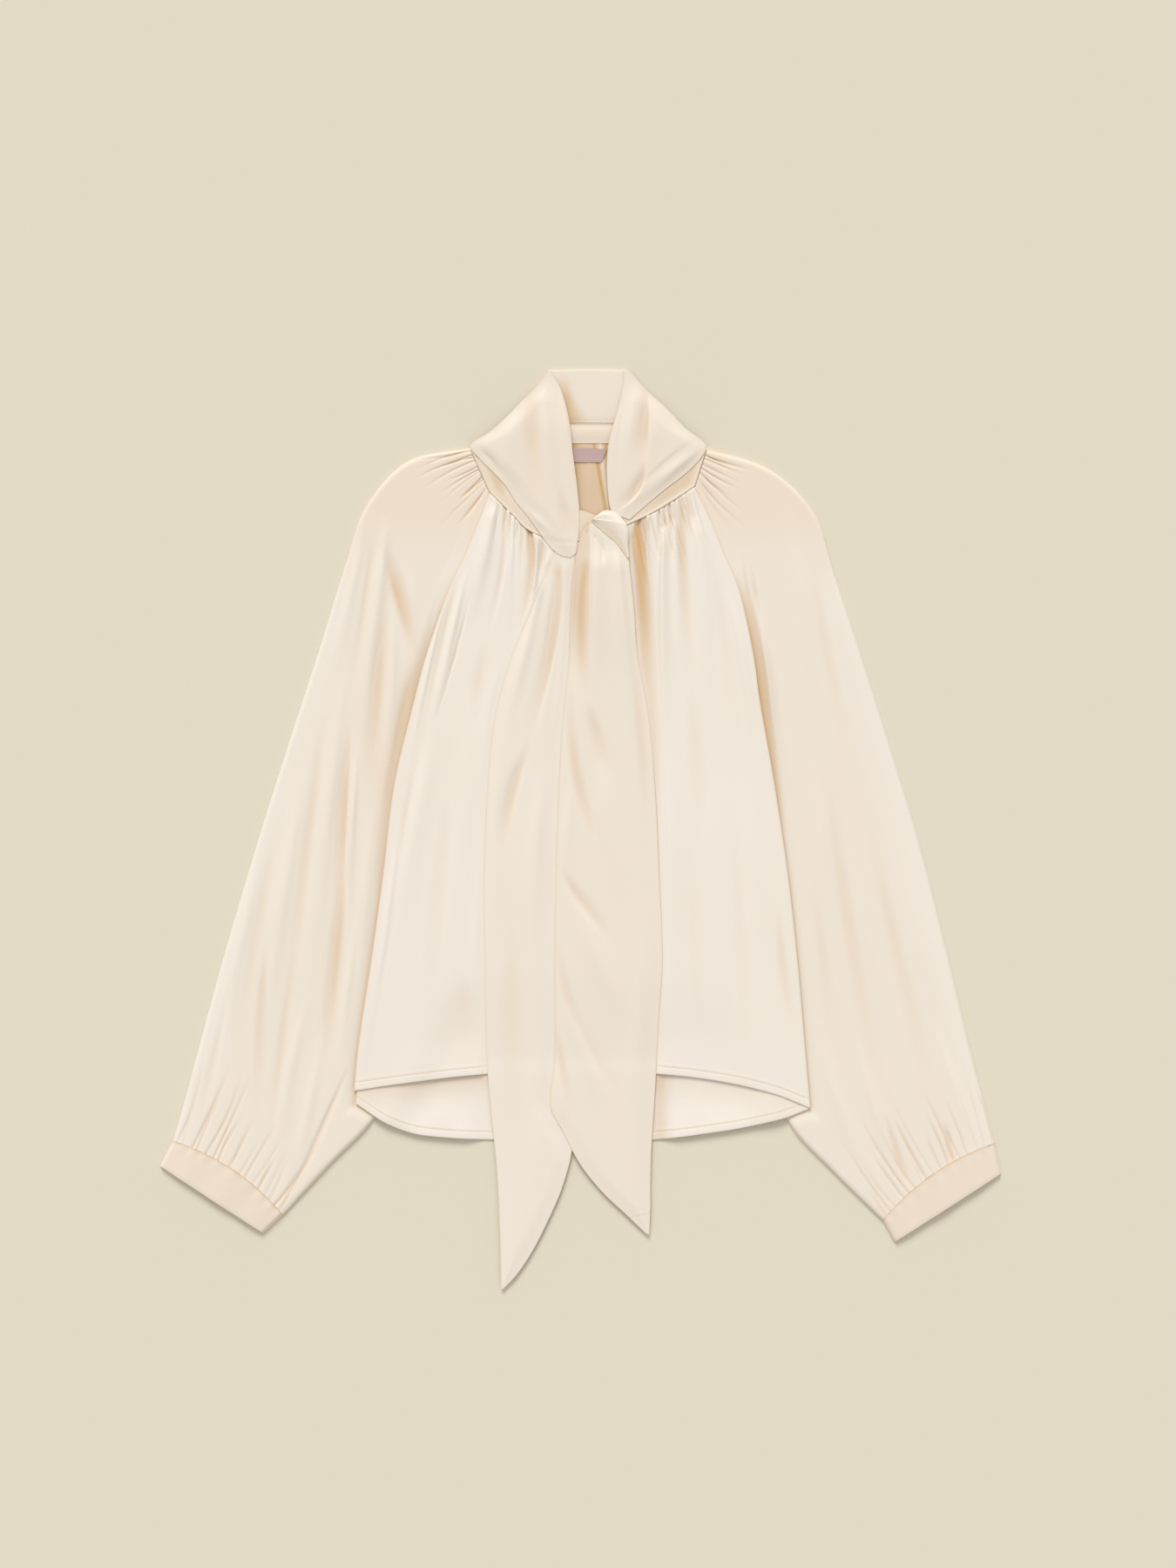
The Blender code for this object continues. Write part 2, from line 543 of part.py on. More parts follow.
def build_cuff(name, table, hem, sign):
    """Band below the cuff seam, with the same bow at the seam."""
    last = table[-1]
    seam_in = np.array([last.inner_x, last.inner_y], float)
    seam_out = np.array([last.outer_x, last.outer_y], float)
    edge_out, edge_in = np.array(hem[0], float), np.array(hem[1], float)
    down = (edge_in - seam_in) / np.hypot(*(edge_in - seam_in))
    seam_in = seam_in + down * SEAM
    seam_out = seam_out + down * SEAM
    along = np.linspace(0, 1, 4)[:, None]
    inner = seam_in * (1 - along) + edge_in * along
    outer = seam_out * (1 - along) + edge_out * along
    bow = last.bow * (1 - along[:, 0])

    def height(x, y, s, t):
        swell = 1.1 * np.sin(np.pi * s) + 0.5 * np.sin(np.pi * 3 * s + 0.4) ** 2
        return 2 * BAND_WALL + 0.6 + swell * (1 - 0.3 * t)

    tube(name, inner, outer, bow, height, 12, 0, BAND_WALL, BAND_CREAM)


def build_neck():
    across = cells(30)
    seam = spline(BAND_SEAM, across)
    run = np.gradient(seam, axis=0)
    side = np.stack([-run[:, 1], run[:, 0]], axis=1)
    side = side / np.hypot(side[:, 0], side[:, 1])[:, None]
    middle = np.exp(-((across - 0.46) / 0.10) ** 2)
    width = BAND_WIDTH + BAND_MIDDLE * middle
    steps = np.linspace(0.0, 1.0, 4)[:, None]
    x = seam[None, :, 0] + side[None, :, 0] * (SEAM * 1.5 + width * steps)
    y = seam[None, :, 1] + side[None, :, 1] * (SEAM * 1.5 + width * steps)
    top = 5.5 + 0.4 * np.sin(np.pi * steps) * np.ones_like(x)
    slab("neckband_front", x, y, top, top - BAND_WALL, BAND_CREAM)

    seam = [(px, py - SEAM) for px, py in STAND_SEAM]
    low = [(-66, 357.2), (10, 358.4), (84, 357.2)]
    x, y = patch([seam[0], low[0]], [seam[-1], low[-1]], seam, low, cells(12), cells(2))
    slab("neckband_back", x, y, 0 * x + BAND_WALL, 0 * x, BAND_CREAM)


def build_tie():
    strip("tie_left_wing", LEFT_WING_OUT, LEFT_WING_IN, WING_CELLS,
          lambda x, y: wing_top(x, y, LEFT_WING_FOLDS, 262), TIE_WALL, TIE_CREAM)
    strip("tie_right_wing", RIGHT_WING_OUT, RIGHT_WING_IN, WING_CELLS,
          lambda x, y: wing_top(x, y, RIGHT_WING_FOLDS, 200), TIE_WALL, TIE_CREAM)
    strip("tie_left_end", TAIL_L_OUT, TAIL_L_IN, TAIL_CELLS, tail_left_top, TIE_WALL,
          TIE_CREAM)
    strip("tie_right_end", TAIL_R_OUT, TAIL_R_IN, TAIL_CELLS, tail_right_top, TIE_WALL,
          TIE_CREAM)

    def knot_height(x, y):
        a = spline(KNOT_OUT, cells(7))[:, None, :]
        b = spline(KNOT_IN, cells(7))[:, None, :]
        width = np.hypot(*(a - b)[:, 0, :].T)[:, None]
        share = np.hypot(x - a[:, :, 0], y - a[:, :, 1]) / width
        return KNOT_BASE + TIE_WALL + KNOT_RISE * np.sin(np.pi * share) ** 0.8

    strip("tie_knot", KNOT_OUT, KNOT_IN, (8, 7), knot_height, TIE_WALL, TIE_CREAM)

    top = [(-29, 424), (10, 425), (43, 424)]
    low = STAND_SEAM
    x, y = patch([top[0], (-46, 402), low[0]], [top[-1], (58, 402), low[-1]], top, low,
                 cells(12), cells(4))
    slab("tie_back", x, y, 2.0 + 0 * x, 0 * x, TIE_CREAM)


def build_label():
    x, y = np.meshgrid(np.linspace(-20, 23, 5), np.linspace(353, 340, 3))
    base = WALL + 0.35 + back_under(x, y)
    slab("label", x, y, base + 0.6, base, LABEL_PINK)


def main():
    for obj in list(bpy.data.objects):
        bpy.data.objects.remove(obj, do_unlink=True)
    build_back()
    build_front()
    build_sleeve("sleeve_left", LEFT_SLEEVE, LEFT_SLEEVE_FOLDS, -1)
    build_sleeve("sleeve_right", RIGHT_SLEEVE, RIGHT_SLEEVE_FOLDS, 1)
    build_cuff("cuff_left", LEFT_SLEEVE, LEFT_CUFF, -1)
    build_cuff("cuff_right", RIGHT_SLEEVE, RIGHT_CUFF, 1)
    build_neck()
    build_tie()
    build_label()


main()
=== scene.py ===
"""Looks of a tie neck blouse that lies flat on a pale floor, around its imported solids.

Sizes are in millimetres and become metres where a mesh is made. Seen from above
with the neck on top, +X is right, +Y is up and Z is the height over the floor.
"left" and "right" are the sides as seen that way.
"""

import math
from collections import namedtuple

import bpy
import numpy as np
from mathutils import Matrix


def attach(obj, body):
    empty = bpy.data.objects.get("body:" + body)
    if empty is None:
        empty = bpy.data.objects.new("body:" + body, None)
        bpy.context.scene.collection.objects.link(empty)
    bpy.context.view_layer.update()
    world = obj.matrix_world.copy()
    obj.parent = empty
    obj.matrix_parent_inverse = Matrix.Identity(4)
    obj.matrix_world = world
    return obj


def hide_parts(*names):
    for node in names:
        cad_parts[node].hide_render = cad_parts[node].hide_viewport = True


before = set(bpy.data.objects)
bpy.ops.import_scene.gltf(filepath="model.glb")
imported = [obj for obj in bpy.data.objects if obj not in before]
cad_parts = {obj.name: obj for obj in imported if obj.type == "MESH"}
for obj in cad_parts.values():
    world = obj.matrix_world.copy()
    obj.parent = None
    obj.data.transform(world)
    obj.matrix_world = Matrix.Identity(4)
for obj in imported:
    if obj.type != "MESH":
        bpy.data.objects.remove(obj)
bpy.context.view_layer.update()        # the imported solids, which the looks stand on

MM = 0.001
MIDDLE_Y = 3.0         # the outline's middle, which is y = 0 in the frame
SEED = 11

# Cloth and seams
WALL = 0.9             # crepe as it shows at a fold or a hem
TIE_WALL = 1.5         # the tie is sewn double
RIM = 0.4              # and thinner at its rolled edges
BAND_WALL = 1.2
SEAM = 0.12            # two edges sewn together, as close as two pieces may lie
LAY = 0.15             # air between pieces that lie on each other

# Heights of the layers
SLEEVE_HID = 2.7
SLEEVE_OPEN = 4.1
RAGLAN_LEVEL = 4.55    # where a sleeve meets the front at its seam
TUCK = 2.0             # its edge runs on under the front's
BACK_LIFT = 3.2
FRONT_LOW = 2.1
MID_LIFT = 2.6         # the front stands off the back in the middle
NECK_RISE = 0.3
BAND_LEVEL = 5.0       # top of the neckband in front
TIE_BODY = 1.3         # loose height of the hanging ends over what they lie on
WING_BASE = 5.1
WING_FOLD = 2.7        # underside of the tie where it turns over at the back

# Cells across and along each piece
FRONT_CELLS = (280, 112)
BACK_CELLS = (110, 60)
SLEEVE_CELLS = (120, 170)
END_CELLS = (70, 190)
WING_CELLS = (70, 110)

SLEEVE_SOFT = 0.8      # how far the folds of the sleeves stand out
NECK_DIP = 1.05        # cloth sinks under the corded edge along the neck seam
HEM_LIFT = 3.0         # a loose hem stands off what lies under it
HEM_THICK = 0.5        # and has one more layer of cloth
TIP_LEVEL = 2.6        # underside of the tie's tips over the floor
HEM_BAND = 8.5         # height of the turned hems
STITCH = 2.6           # spacing of the stitches
STITCH_LONG = 1.7
THREAD = 0.45

LAID = {}              # tops of the pieces made so far, for those that come to lie on them
SEWN = []              # lines of stitches on them

Level = namedtuple("Level", "y left right")
Station = namedtuple("Station", "inner_x inner_y outer_x outer_y bow")
Fold = namedtuple("Fold", "head_x head_y mid_x mid_y foot_x foot_y left right rise")

# Body outline: the same rows as the solids have
BODY = [
    Level(290, -92, 118), Level(256, -106, 132), Level(226, -120, 144.5),
    Level(192, -132, 153), Level(155, -144, 160), Level(124, -152, 164),
    Level(44, -171, 178), Level(-36, -181, 190), Level(-116, -192, 199),
    Level(-196, -204, 206),
]
NECK_LEFT = (-83, 313)
NECK_RIGHT = (104, 318)
NECK_DROP = [(-61, 291), (-49, 279), (-30, 271), (-5, 268), (20, 270), (43, 283),
             (64, 293), (86, 306)]
HEM_LEFT = (-208, -237)
HEM_RIGHT = (211, -253)
FRONT_HEM = [(-161, -230), (-89, -222), (-5, -220), (75, -222), (131, -229), (178, -240)]
BACK_LEFT = (-206, -249)
BACK_RIGHT = (209, -254)
BACK_HEM = [(-176, -268), (-144, -278), (-53, -283), (43, -284), (131, -274), (184, -263)]
BACK_NECK_Y = 357.8

LEFT_SLEEVE = [
    Station(-83.3, 312.9, -100.8, 352.9, 0), Station(-107, 256, -159, 340, 0),
    Station(-128, 200, -197, 299, 0), Station(-143, 140, -216, 246, 0),
    Station(-148, 68, -240, 168, 0), Station(-148, -18, -268, 82, 0),
    Station(-149, -104, -297, -10, 0), Station(-158, -198, -326, -108, 0),
    Station(-189, -262, -348, -188, 0), Station(-229, -304, -363, -244, -4),
    Station(-273, -351, -374, -283, -9),
]
RIGHT_SLEEVE = [
    Station(104.3, 317.9, 115.3, 352.9, 0), Station(131, 261, 175, 332, 0),
    Station(148, 205, 215, 292, 0), Station(157, 148, 233, 238, 0),
    Station(160, 74, 256, 168, 0), Station(161, -12, 283, 82, 0),
    Station(162, -98, 311, -10, 0), Station(169, -196, 338, -116, 0),
    Station(192, -268, 359, -204, 0), Station(231, -311, 371, -250, 4),
    Station(277, -356, 380, -285, 9),
]
UNDERARM = 0.2         # share of a sleeve's length above which it is open to the body
LEFT_CUFF = ((-386, -306), (-291, -368))
RIGHT_CUFF = ((386, -313), (288, -376))

HEAD_LEFT = [(-100.5, 353), (-91.8, 333), (-83, 313)]    # where a sleeve is sewn to the band
HEAD_RIGHT = [(104, 318), (109.5, 335.5), (115, 353)]
BAND_WIDTH = 17
BAND_MIDDLE = 11
STAND_SEAM = [(-66, 375.4), (10, 377), (84, 375.4)]

LEFT_WING_OUT = [(-30, 423), (-43.5, 406), (-54, 396), (-66, 383), (-84, 367), (-101, 355), (-92, 342),
                 (-80, 330), (-69, 318), (-60, 304), (-48, 289), (-37, 274), (-28, 262),
                 (-19, 254.5), (-9, 252)]
LEFT_WING_IN = [(-27, 423), (-20, 411), (-15, 397), (-10, 375), (-7, 347), (-3, 316),
                (-1, 292), (-2, 272), (-4, 256.5)]
RIGHT_WING_OUT = [(45, 423.5), (62, 404.5), (79, 389), (96, 371), (115, 355), (109, 342),
                  (95, 328), (78, 315), (60, 300), (45, 287)]
RIGHT_WING_IN = [(39, 423.5), (39, 412), (36, 396), (32, 380), (28, 367), (25, 352), (24, 332),
                 (25, 312), (27, 298), (30, 292)]
LEFT_END_OUT = [(-22, 262), (-31, 240), (-46, 202), (-66, 155), (-80, 100), (-86, 30),
                (-89, -52), (-88, -120), (-87, -187), (-84, -238), (-77, -309), (-74, -371),
                (-73, -419)]
LEFT_END_IN = [(-6, 262), (-3, 200), (-4, 120), (-4, 40), (-4, -60), (-5, -160), (-4, -240),
               (-8, -292), (-17, -326), (-28, -352), (-43, -382), (-58, -405), (-71, -419)]
RIGHT_END_OUT = [(9, 285), (5, 282), (1, 276), (-2, 264), (-5, 248), (-8, 228), (-11, 160),
                 (-18, 84), (-22, -10),
                 (-24, -110), (-24, -208), (-28, -250), (-16, -275), (0, -305), (20, -330),
                 (40, -349), (60, -368)]
RIGHT_END_IN = [(41, 282), (44, 252), (49, 204), (52, 164), (62, 110), (68, 44), (72, -36),
                (75, -116), (72, -166), (68, -242), (65, -289), (64, -320), (64, -345),
                (63, -369)]
KNOT_OUT = [(13, 289), (22, 295), (31, 294), (38, 288), (43.5, 278), (43.8, 262), (44.6, 253)]
KNOT_IN = [(10, 285), (17, 279), (24, 273), (30, 268), (35.5, 262), (40, 256), (43, 251)]
KNOT_CREASE = 8.8      # the right end folds up along this x under the knot
# where painted shade spots mark the pinches under the knot
KNOT_PINCH = [(6.8, 284.4), (6.0, 278.0)]
KNOT_RISE = 2.4
PIPING = 2.2           # width of the flat corded edge along the neck seam
PIPING_LEVEL = 4.7

# Folds, as uneven as they lie: three points from head to foot, the width on the
# left and on the right of that line, and the height over the cloth around
FRONT_FOLDS = [
    Fold(-69, 305, -70, 246, -85, 184, 3.4, 1.6, -2.4),
    Fold(-88, 172, -94, 124, -99, 60, 5.6, 5.6, -0.8),
    Fold(-80, 296, -88, 252, -103, 188, 7.2, 4.8, 3),
    Fold(-64, 302, -64, 272, -68, 240, 1.8, 1.8, -1.2),
    Fold(-60, 296, -60, 260, -62, 212, 2, 2, -1.3),
    Fold(-55, 292, -54, 264, -56, 220, 1.6, 1.6, -1),
    Fold(-51, 294, -43, 246, -54, 178, 4.6, 1.2, -4),
    Fold(-42, 275, -42, 240, -44, 195, 1.8, 4, 2.6),
    Fold(-34, 272, -36, 246, -41, 206, 2.6, 1.2, -2.4),
    Fold(-28, 260, -32, 240, -39, 214, 2.4, 2.4, 1),
    Fold(-67, 304, -69, 252, -76, 188, 2, 3.2, 1.6),
    Fold(-61, 292, -64, 236, -71, 156, 4.8, 4.8, 1.4), Fold(-76, 156, -81, 100, -85, 20, 8, 8, 0.8),
    Fold(-114, 230, -129, 176, -151, 72, 2.4, 2.8, -2),
    Fold(-151, 72, -164, 4, -175, -68, 3.2, 4, -1.2),
    Fold(-106, 236, -120, 172, -141, 76, 3.2, 3.2, 2.4),
    Fold(-101, 220, -118, 152, -136, 96, 1.3, 1, -1.4),
    Fold(-133, 96, -153, -4, -173, -140, 7.2, 11.2, 2.2),
    Fold(-173, -84, -188, -164, -200, -228, 2.4, 2.4, -0.8),
    Fold(-124, 212, -140, 148, -159, 52, 2.4, 2.4, 1.8),
    Fold(-164, 20, -177, -76, -193, -196, 3.2, 3.2, 1.6),
    Fold(-95, 124, -109, -4, -129, -196, 12.8, 12.8, 1.2),
    Fold(-117, 44, -127, -52, -141, -212, 9.6, 9.6, -0.8),
    Fold(-95, -36, -96, -116, -101, -216, 6.4, 6.4, 0.8),
    Fold(-101, -132, -105, -172, -111, -221, 17.6, 12.8, -1),
    Fold(53, 292, 58, 204, 66, 84, 11, 7, -4.2), Fold(65, 108, 71, -36, 73, -224, 4, 2.4, -4),
    Fold(76, 276, 74, 188, 78, 68, 2.4, 6.4, 4), Fold(79, 76, 83, -36, 84, -212, 4, 14.4, 2),
    Fold(92, 304, 95, 236, 103, 124, 3.6, 3.6, -2.4),
    Fold(103, 124, 107, 60, 112, -20, 6.4, 6.4, -0.7),
    Fold(56, 292, 56, 272, 56, 236, 1.6, 1.6, 1.5), Fold(62, 292, 61, 260, 63, 212, 1.6, 1.6, 2),
    Fold(72, 296, 72, 276, 73, 244, 1.3, 1.3, -1.6),
    Fold(77, 300, 78, 280, 80, 256, 1.3, 1.3, -1.4),
    Fold(81, 304, 83, 276, 85, 236, 1.4, 1.4, -1.8),
    Fold(86, 308, 88, 288, 91, 260, 1.2, 1.2, -1.2),
    Fold(96, 315, 99, 292, 104, 252, 1.3, 1.3, -1.2),
    Fold(100, 316, 105, 284, 116, 236, 1.3, 1.3, -1),
    Fold(87, 284, 89, 212, 96, 124, 3.2, 3.2, 1.8), Fold(107, 284, 114, 204, 123, 84, 7.2, 8, 2.2),
    Fold(119, 252, 132, 172, 148, 60, 5.6, 6.4, -0.8),
    Fold(135, 220, 151, 148, 169, 20, 5.6, 4.8, 2),
    Fold(147, 44, 161, -52, 175, -196, 9.6, 9.6, 1.2),
    Fold(181, -68, 186, -124, 196, -188, 5.6, 4, -1.6),
    Fold(123, 44, 128, -60, 135, -204, 11.2, 11.2, 0.9),
    Fold(140, 4, 147, -100, 153, -204, 6.4, 6.4, -0.7),
    Fold(103, -20, 105, -108, 108, -212, 8, 8, -0.6),
]
LEFT_SLEEVE_FOLDS = [
    Fold(-179, 284, -186, 212, -205, 76, 4.8, 5.6, 3.4),
    Fold(-205, 76, -210, -4, -215, -100, 4, 3.2, 3),
    Fold(-182, 262, -166, 208, -149, 150, 3.4, 7.5, -4.2),
    Fold(-158, 240, -152, 202, -144, 160, 4, 3, 1.6),
    Fold(-179, 214, -188, 120, -193, 12, 6.5, 6.5, -3.2),
    Fold(-172, 204, -173, 132, -178, 44, 4, 4.8, 2.2),
    Fold(-156, 146, -166, 76, -176, -20, 6, 4, -2.4),
    Fold(-192, 12, -199, -68, -204, -156, 5.6, 5.6, 1.8),
    Fold(-211, 90, -216, 5, -220, -90, 8.5, 1.1, -3.8),
    Fold(-216, -36, -225, -124, -236, -232, 6.4, 4.8, -3.4),
    Fold(-207, -84, -215, -156, -223, -236, 3.2, 4, 1.8),
    Fold(-199, 284, -212, 212, -232, 124, 5.6, 5.6, 2.4),
    Fold(-191, 268, -199, 204, -215, 108, 3.2, 3.2, -1.4),
    Fold(-217, 140, -236, -20, -252, -196, 8.8, 7.2, 3),
    Fold(-236, 100, -253, -36, -272, -188, 5.6, 6.4, -1.6),
    Fold(-257, 44, -276, -84, -293, -196, 8, 6.4, 2.6),
    Fold(-287, -100, -293, -172, -296, -268, 4, 4.8, -2.4),
    Fold(-252, -156, -269, -236, -279, -316, 5.6, 5.6, 2),
    Fold(-263, -116, -276, -212, -284, -300, 4, 4, -1.4),
    Fold(-279, 4, -301, -116, -324, -244, 6.4, 6.4, -1.2),
    Fold(-293, -20, -317, -124, -341, -252, 6.4, 6.4, 2),
    Fold(-319, -132, -337, -212, -351, -276, 4, 4, -1.4),
    Fold(-236, -180, -252, -268, -263, -316, 4.8, 4.8, 1.6),
    Fold(-214, -218, -243, -282, -271, -346, 1.4, 3.2, -2.2),
]
RIGHT_SLEEVE_FOLDS = [
    Fold(161, 212, 174, 124, 187, -4, 3.2, 5.6, 4),
    Fold(187, -4, 199, -108, 211, -252, 3.2, 6.4, 2.6),
    Fold(149, 248, 156, 204, 166, 148, 1.8, 1.8, -2),
    Fold(156, 244, 163, 204, 171, 156, 1.6, 2, -1.6),
    Fold(191, 292, 207, 188, 223, 60, 9.6, 9.6, 2.2),
    Fold(211, 252, 227, 156, 255, 44, 6.4, 6.4, -1.2), Fold(227, 252, 255, 140, 283, 20, 8, 8, 2.2),
    Fold(211, 60, 227, -44, 247, -156, 9, 6, 1.5),
    Fold(227, 44, 249, -108, 283, -272, 5.5, 8, -1.5),
    Fold(280, -262, 292, -300, 300, -328, 2.6, 2.6, -2.6),
    Fold(247, 4, 271, -124, 303, -260, 8, 9, 1.5),
    Fold(267, -4, 295, -132, 335, -292, 6.5, 7, -1.1),
    Fold(295, -4, 319, -132, 351, -268, 8, 8, 2.2),
    Fold(335, -268, 339, -292, 342, -312, 2.4, 2.4, -2.4),
    Fold(315, -116, 335, -196, 355, -268, 4.8, 4.8, -1),
    Fold(219, -180, 243, -268, 275, -336, 6.4, 6.4, 2),
    Fold(255, -196, 273, -268, 291, -332, 4, 4.8, 1.8),
    Fold(215, -36, 225, -132, 239, -228, 4.8, 4.8, -1),
    Fold(327, -180, 347, -244, 364, -288, 4.8, 4.8, 1.4),
]
LEFT_END_FOLDS = [
    Fold(-20, 248, -21, 188, -48, 76, 7.2, 1.6, -4.6), Fold(-48, 76, -64, 28, -74, -36, 6.4, 4, -2),
    Fold(-14, 248, -15, 172, -29, 60, 2.4, 5.6, 3.6),
    Fold(-29, 60, -40, -20, -45, -132, 9.6, 9.6, 1.8),
    Fold(-36, 228, -52, 164, -71, 84, 4.8, 5.6, 2.4),
    Fold(-76, 76, -80, -4, -80, -116, 4.8, 6.4, 1.4),
    Fold(-61, -76, -63, -180, -61, -292, 9.6, 9.6, -0.7),
    Fold(-33, -156, -32, -244, -44, -348, 8, 8, 1.2),
]
RIGHT_END_FOLDS = [
    Fold(16, 275, 14, 204, 19, 100, 3.2, 9.6, 2.4), Fold(4, 244, 0, 180, 8, 116, 4.8, 4.8, -2.8),
    Fold(8, 116, 16, 84, 27, 44, 5.6, 5.6, -1.4), Fold(-9, 124, -2, 44, 23, -24, 4, 4.8, -2),
    Fold(-17, -36, 3, -68, 33, -104, 3.2, 5.6, -1.6),
    Fold(-21, -104, -1, -180, 39, -245, 4.8, 5.6, -1.4),
    Fold(-23, -180, -16, -220, -7, -272, 2.4, 3.2, -1.4),
    Fold(33, 268, 40, 188, 49, 84, 6.4, 4.8, 2.4), Fold(48, 172, 56, 84, 62, -4, 4, 4, -1.4),
    Fold(-5, 252, -8, 204, -9, 148, 2.4, 3.2, 1.6), Fold(19, 60, 27, -4, 43, -84, 11.2, 9.6, 1.6),
    Fold(-9, 44, -13, -4, -15, -44, 4, 4.8, 1.2), Fold(-1, -68, 19, -124, 47, -180, 9.6, 9.6, 1.4),
    Fold(-13, -140, 4, -204, 27, -276, 6.4, 8, 1.2),
    Fold(55, -100, 52, -196, 47, -308, 8, 6.4, 1.2), Fold(11, 275, 19.5, 260, 18.5, 246, 1.6, 2.2, -4.4),
    Fold(20, 274, 25, 259, 25, 240, 2.4, 3.6, 1.6),
]
LEFT_WING_FOLDS = [
    Fold(-44, 403, -43, 348, -34, 286, 9, 9, -2.0),
    Fold(-58, 388, -64, 352, -54, 308, 9, 9, 1.7),
    Fold(-33, 404, -30, 348, -20, 292, 6, 6, 1.7),
    Fold(-19, 412, -11, 356, -5, 292, 4, 3.4, 1.5),
    Fold(-92, 352, -80, 337, -68, 322, 1.4, 4, -1.2),
    Fold(-21, 320, -13, 288, -9, 272, 4.8, 4.8, -1.2), Fold(-53, 300, -33, 280, -13, 262, 4, 4, 1),
]
RIGHT_WING_FOLDS = [
    Fold(61, 406, 60, 366, 58, 330, 8, 1.2, -3.2), Fold(59, 338, 52, 312, 30, 295, 7, 1.4, -2.8),
    Fold(49, 408, 46, 374, 42, 330, 4.5, 4.5, 1.4), Fold(36, 390, 31, 360, 29, 316, 3, 3, 0.9),
    Fold(66, 392, 66, 360, 62, 332, 3, 9, 1.0), Fold(104, 360, 74, 336, 42, 302, 2, 7, -0.7),
    Fold(110, 352, 84, 331, 44, 296, 5, 4, 1.3),
]
# Painted shade on a sleeve beside the body: its width and strength down the side
GAP_Y = [-240, -60, 0, 60, 130, 200, 245]
GAP_WIDE = {"left": [3, 4, 9, 12, 12, 5, 2], "right": [2, 2, 2.5, 5, 9, 8, 3]}
GAP_SHADE = {"left": [0.4, 0.45, 0.4, 0.45, 0.55, 0.2, 0.0],
            "right": [0.3, 0.4, 0.5, 0.75, 0.85, 0.5, 0.0]}
BACK_FOLDS = [
    Fold(8, 344, 9, 322, 9, 292, 3, 3, 0.8), Fold(15.6, 342, 19, 322, 23, 292, 0.9, 0.9, -0.8),
    Fold(19.5, 344, 22, 322, 25, 292, 1.2, 1.2, 0.8),
    Fold(22.8, 350, 24, 325, 26, 292, 0.8, 0.8, -0.8), Fold(-1, 344, 0, 322, 1, 292, 1, 1, -0.7),
    Fold(-120, -240, -125, -262, -128, -274, 14, 14, 1.0),
    Fold(100, -238, 104, -258, 106, -272, 14, 14, 0.8),
]

CREAM = "#F0E8DE"
TIE_CREAM = "#EFE7DC"
PEACH = "#ECDECD"
# Painted shade: golden colour mixed in where valleys, gaps, seams and cloth beside or under other pieces
# lie in shade
PAINTED_SHADE_GOLD = "#D2A76A"
BAND_CREAM = "#EBDDCB"
LABEL_PINK = "#C9B0AC"
THREAD_CREAM = "#E9DBC7"
FLOOR = "#E2DBC9"


def cells(count):
    return np.linspace(0.0, 1.0, count + 1)


def smooth(value, low, high):
    """0 at low, 1 at high, with soft ends."""
    share = np.clip((np.asarray(value, float) - low) / (high - low), 0.0, 1.0)
    return share * share * (3.0 - 2.0 * share)


def spline(rows, at):
    """Smooth curve through the rows, read at shares 0..1 of its length."""
    pts = np.array(rows, float)
    pairs = pts[:, : 4 if pts.shape[1] > 3 else 2]
    step = np.sqrt((np.diff(pairs, axis=0) ** 2).sum(axis=1))
    place = np.concatenate([[0.0], np.cumsum(step)])
    slope = np.empty_like(pts)
    slope[1:-1] = (pts[2:] - pts[:-2]) / (place[2:] - place[:-2])[:, None]
    slope[0] = (pts[1] - pts[0]) / step[0]
    slope[-1] = (pts[-1] - pts[-2]) / step[-1]
    run = np.asarray(at, float) * place[-1]
    k = np.clip(np.searchsorted(place, run, side="right") - 1, 0, len(step) - 1)
    size = step[k][:, None]
    f = (run - place[k])[:, None] / size
    return ((1 + 2 * f) * (1 - f) ** 2 * pts[k] + f * (1 - f) ** 2 * size * slope[k]
            + f ** 2 * (3 - 2 * f) * pts[k + 1] + f ** 2 * (f - 1) * size * slope[k + 1])


def patch(left, right, top, bottom, across, along):
    """Plan points filled in between four edge curves: rows go down, columns across."""
    lt = spline(left, along)[:, None, :]
    rt = spline(right, along)[:, None, :]
    tp = spline(top, across)[None, :, :]
    bt = spline(bottom, across)[None, :, :]
    s = across[None, :, None]
    t = along[:, None, None]
    corner = ((1 - s) * (1 - t) * tp[:, :1] + s * (1 - t) * tp[:, -1:]
              + (1 - s) * t * bt[:, :1] + s * t * bt[:, -1:])
    grid = (1 - t) * tp + t * bt + (1 - s) * lt + s * rt - corner
    return grid[:, :, 0], grid[:, :, 1]


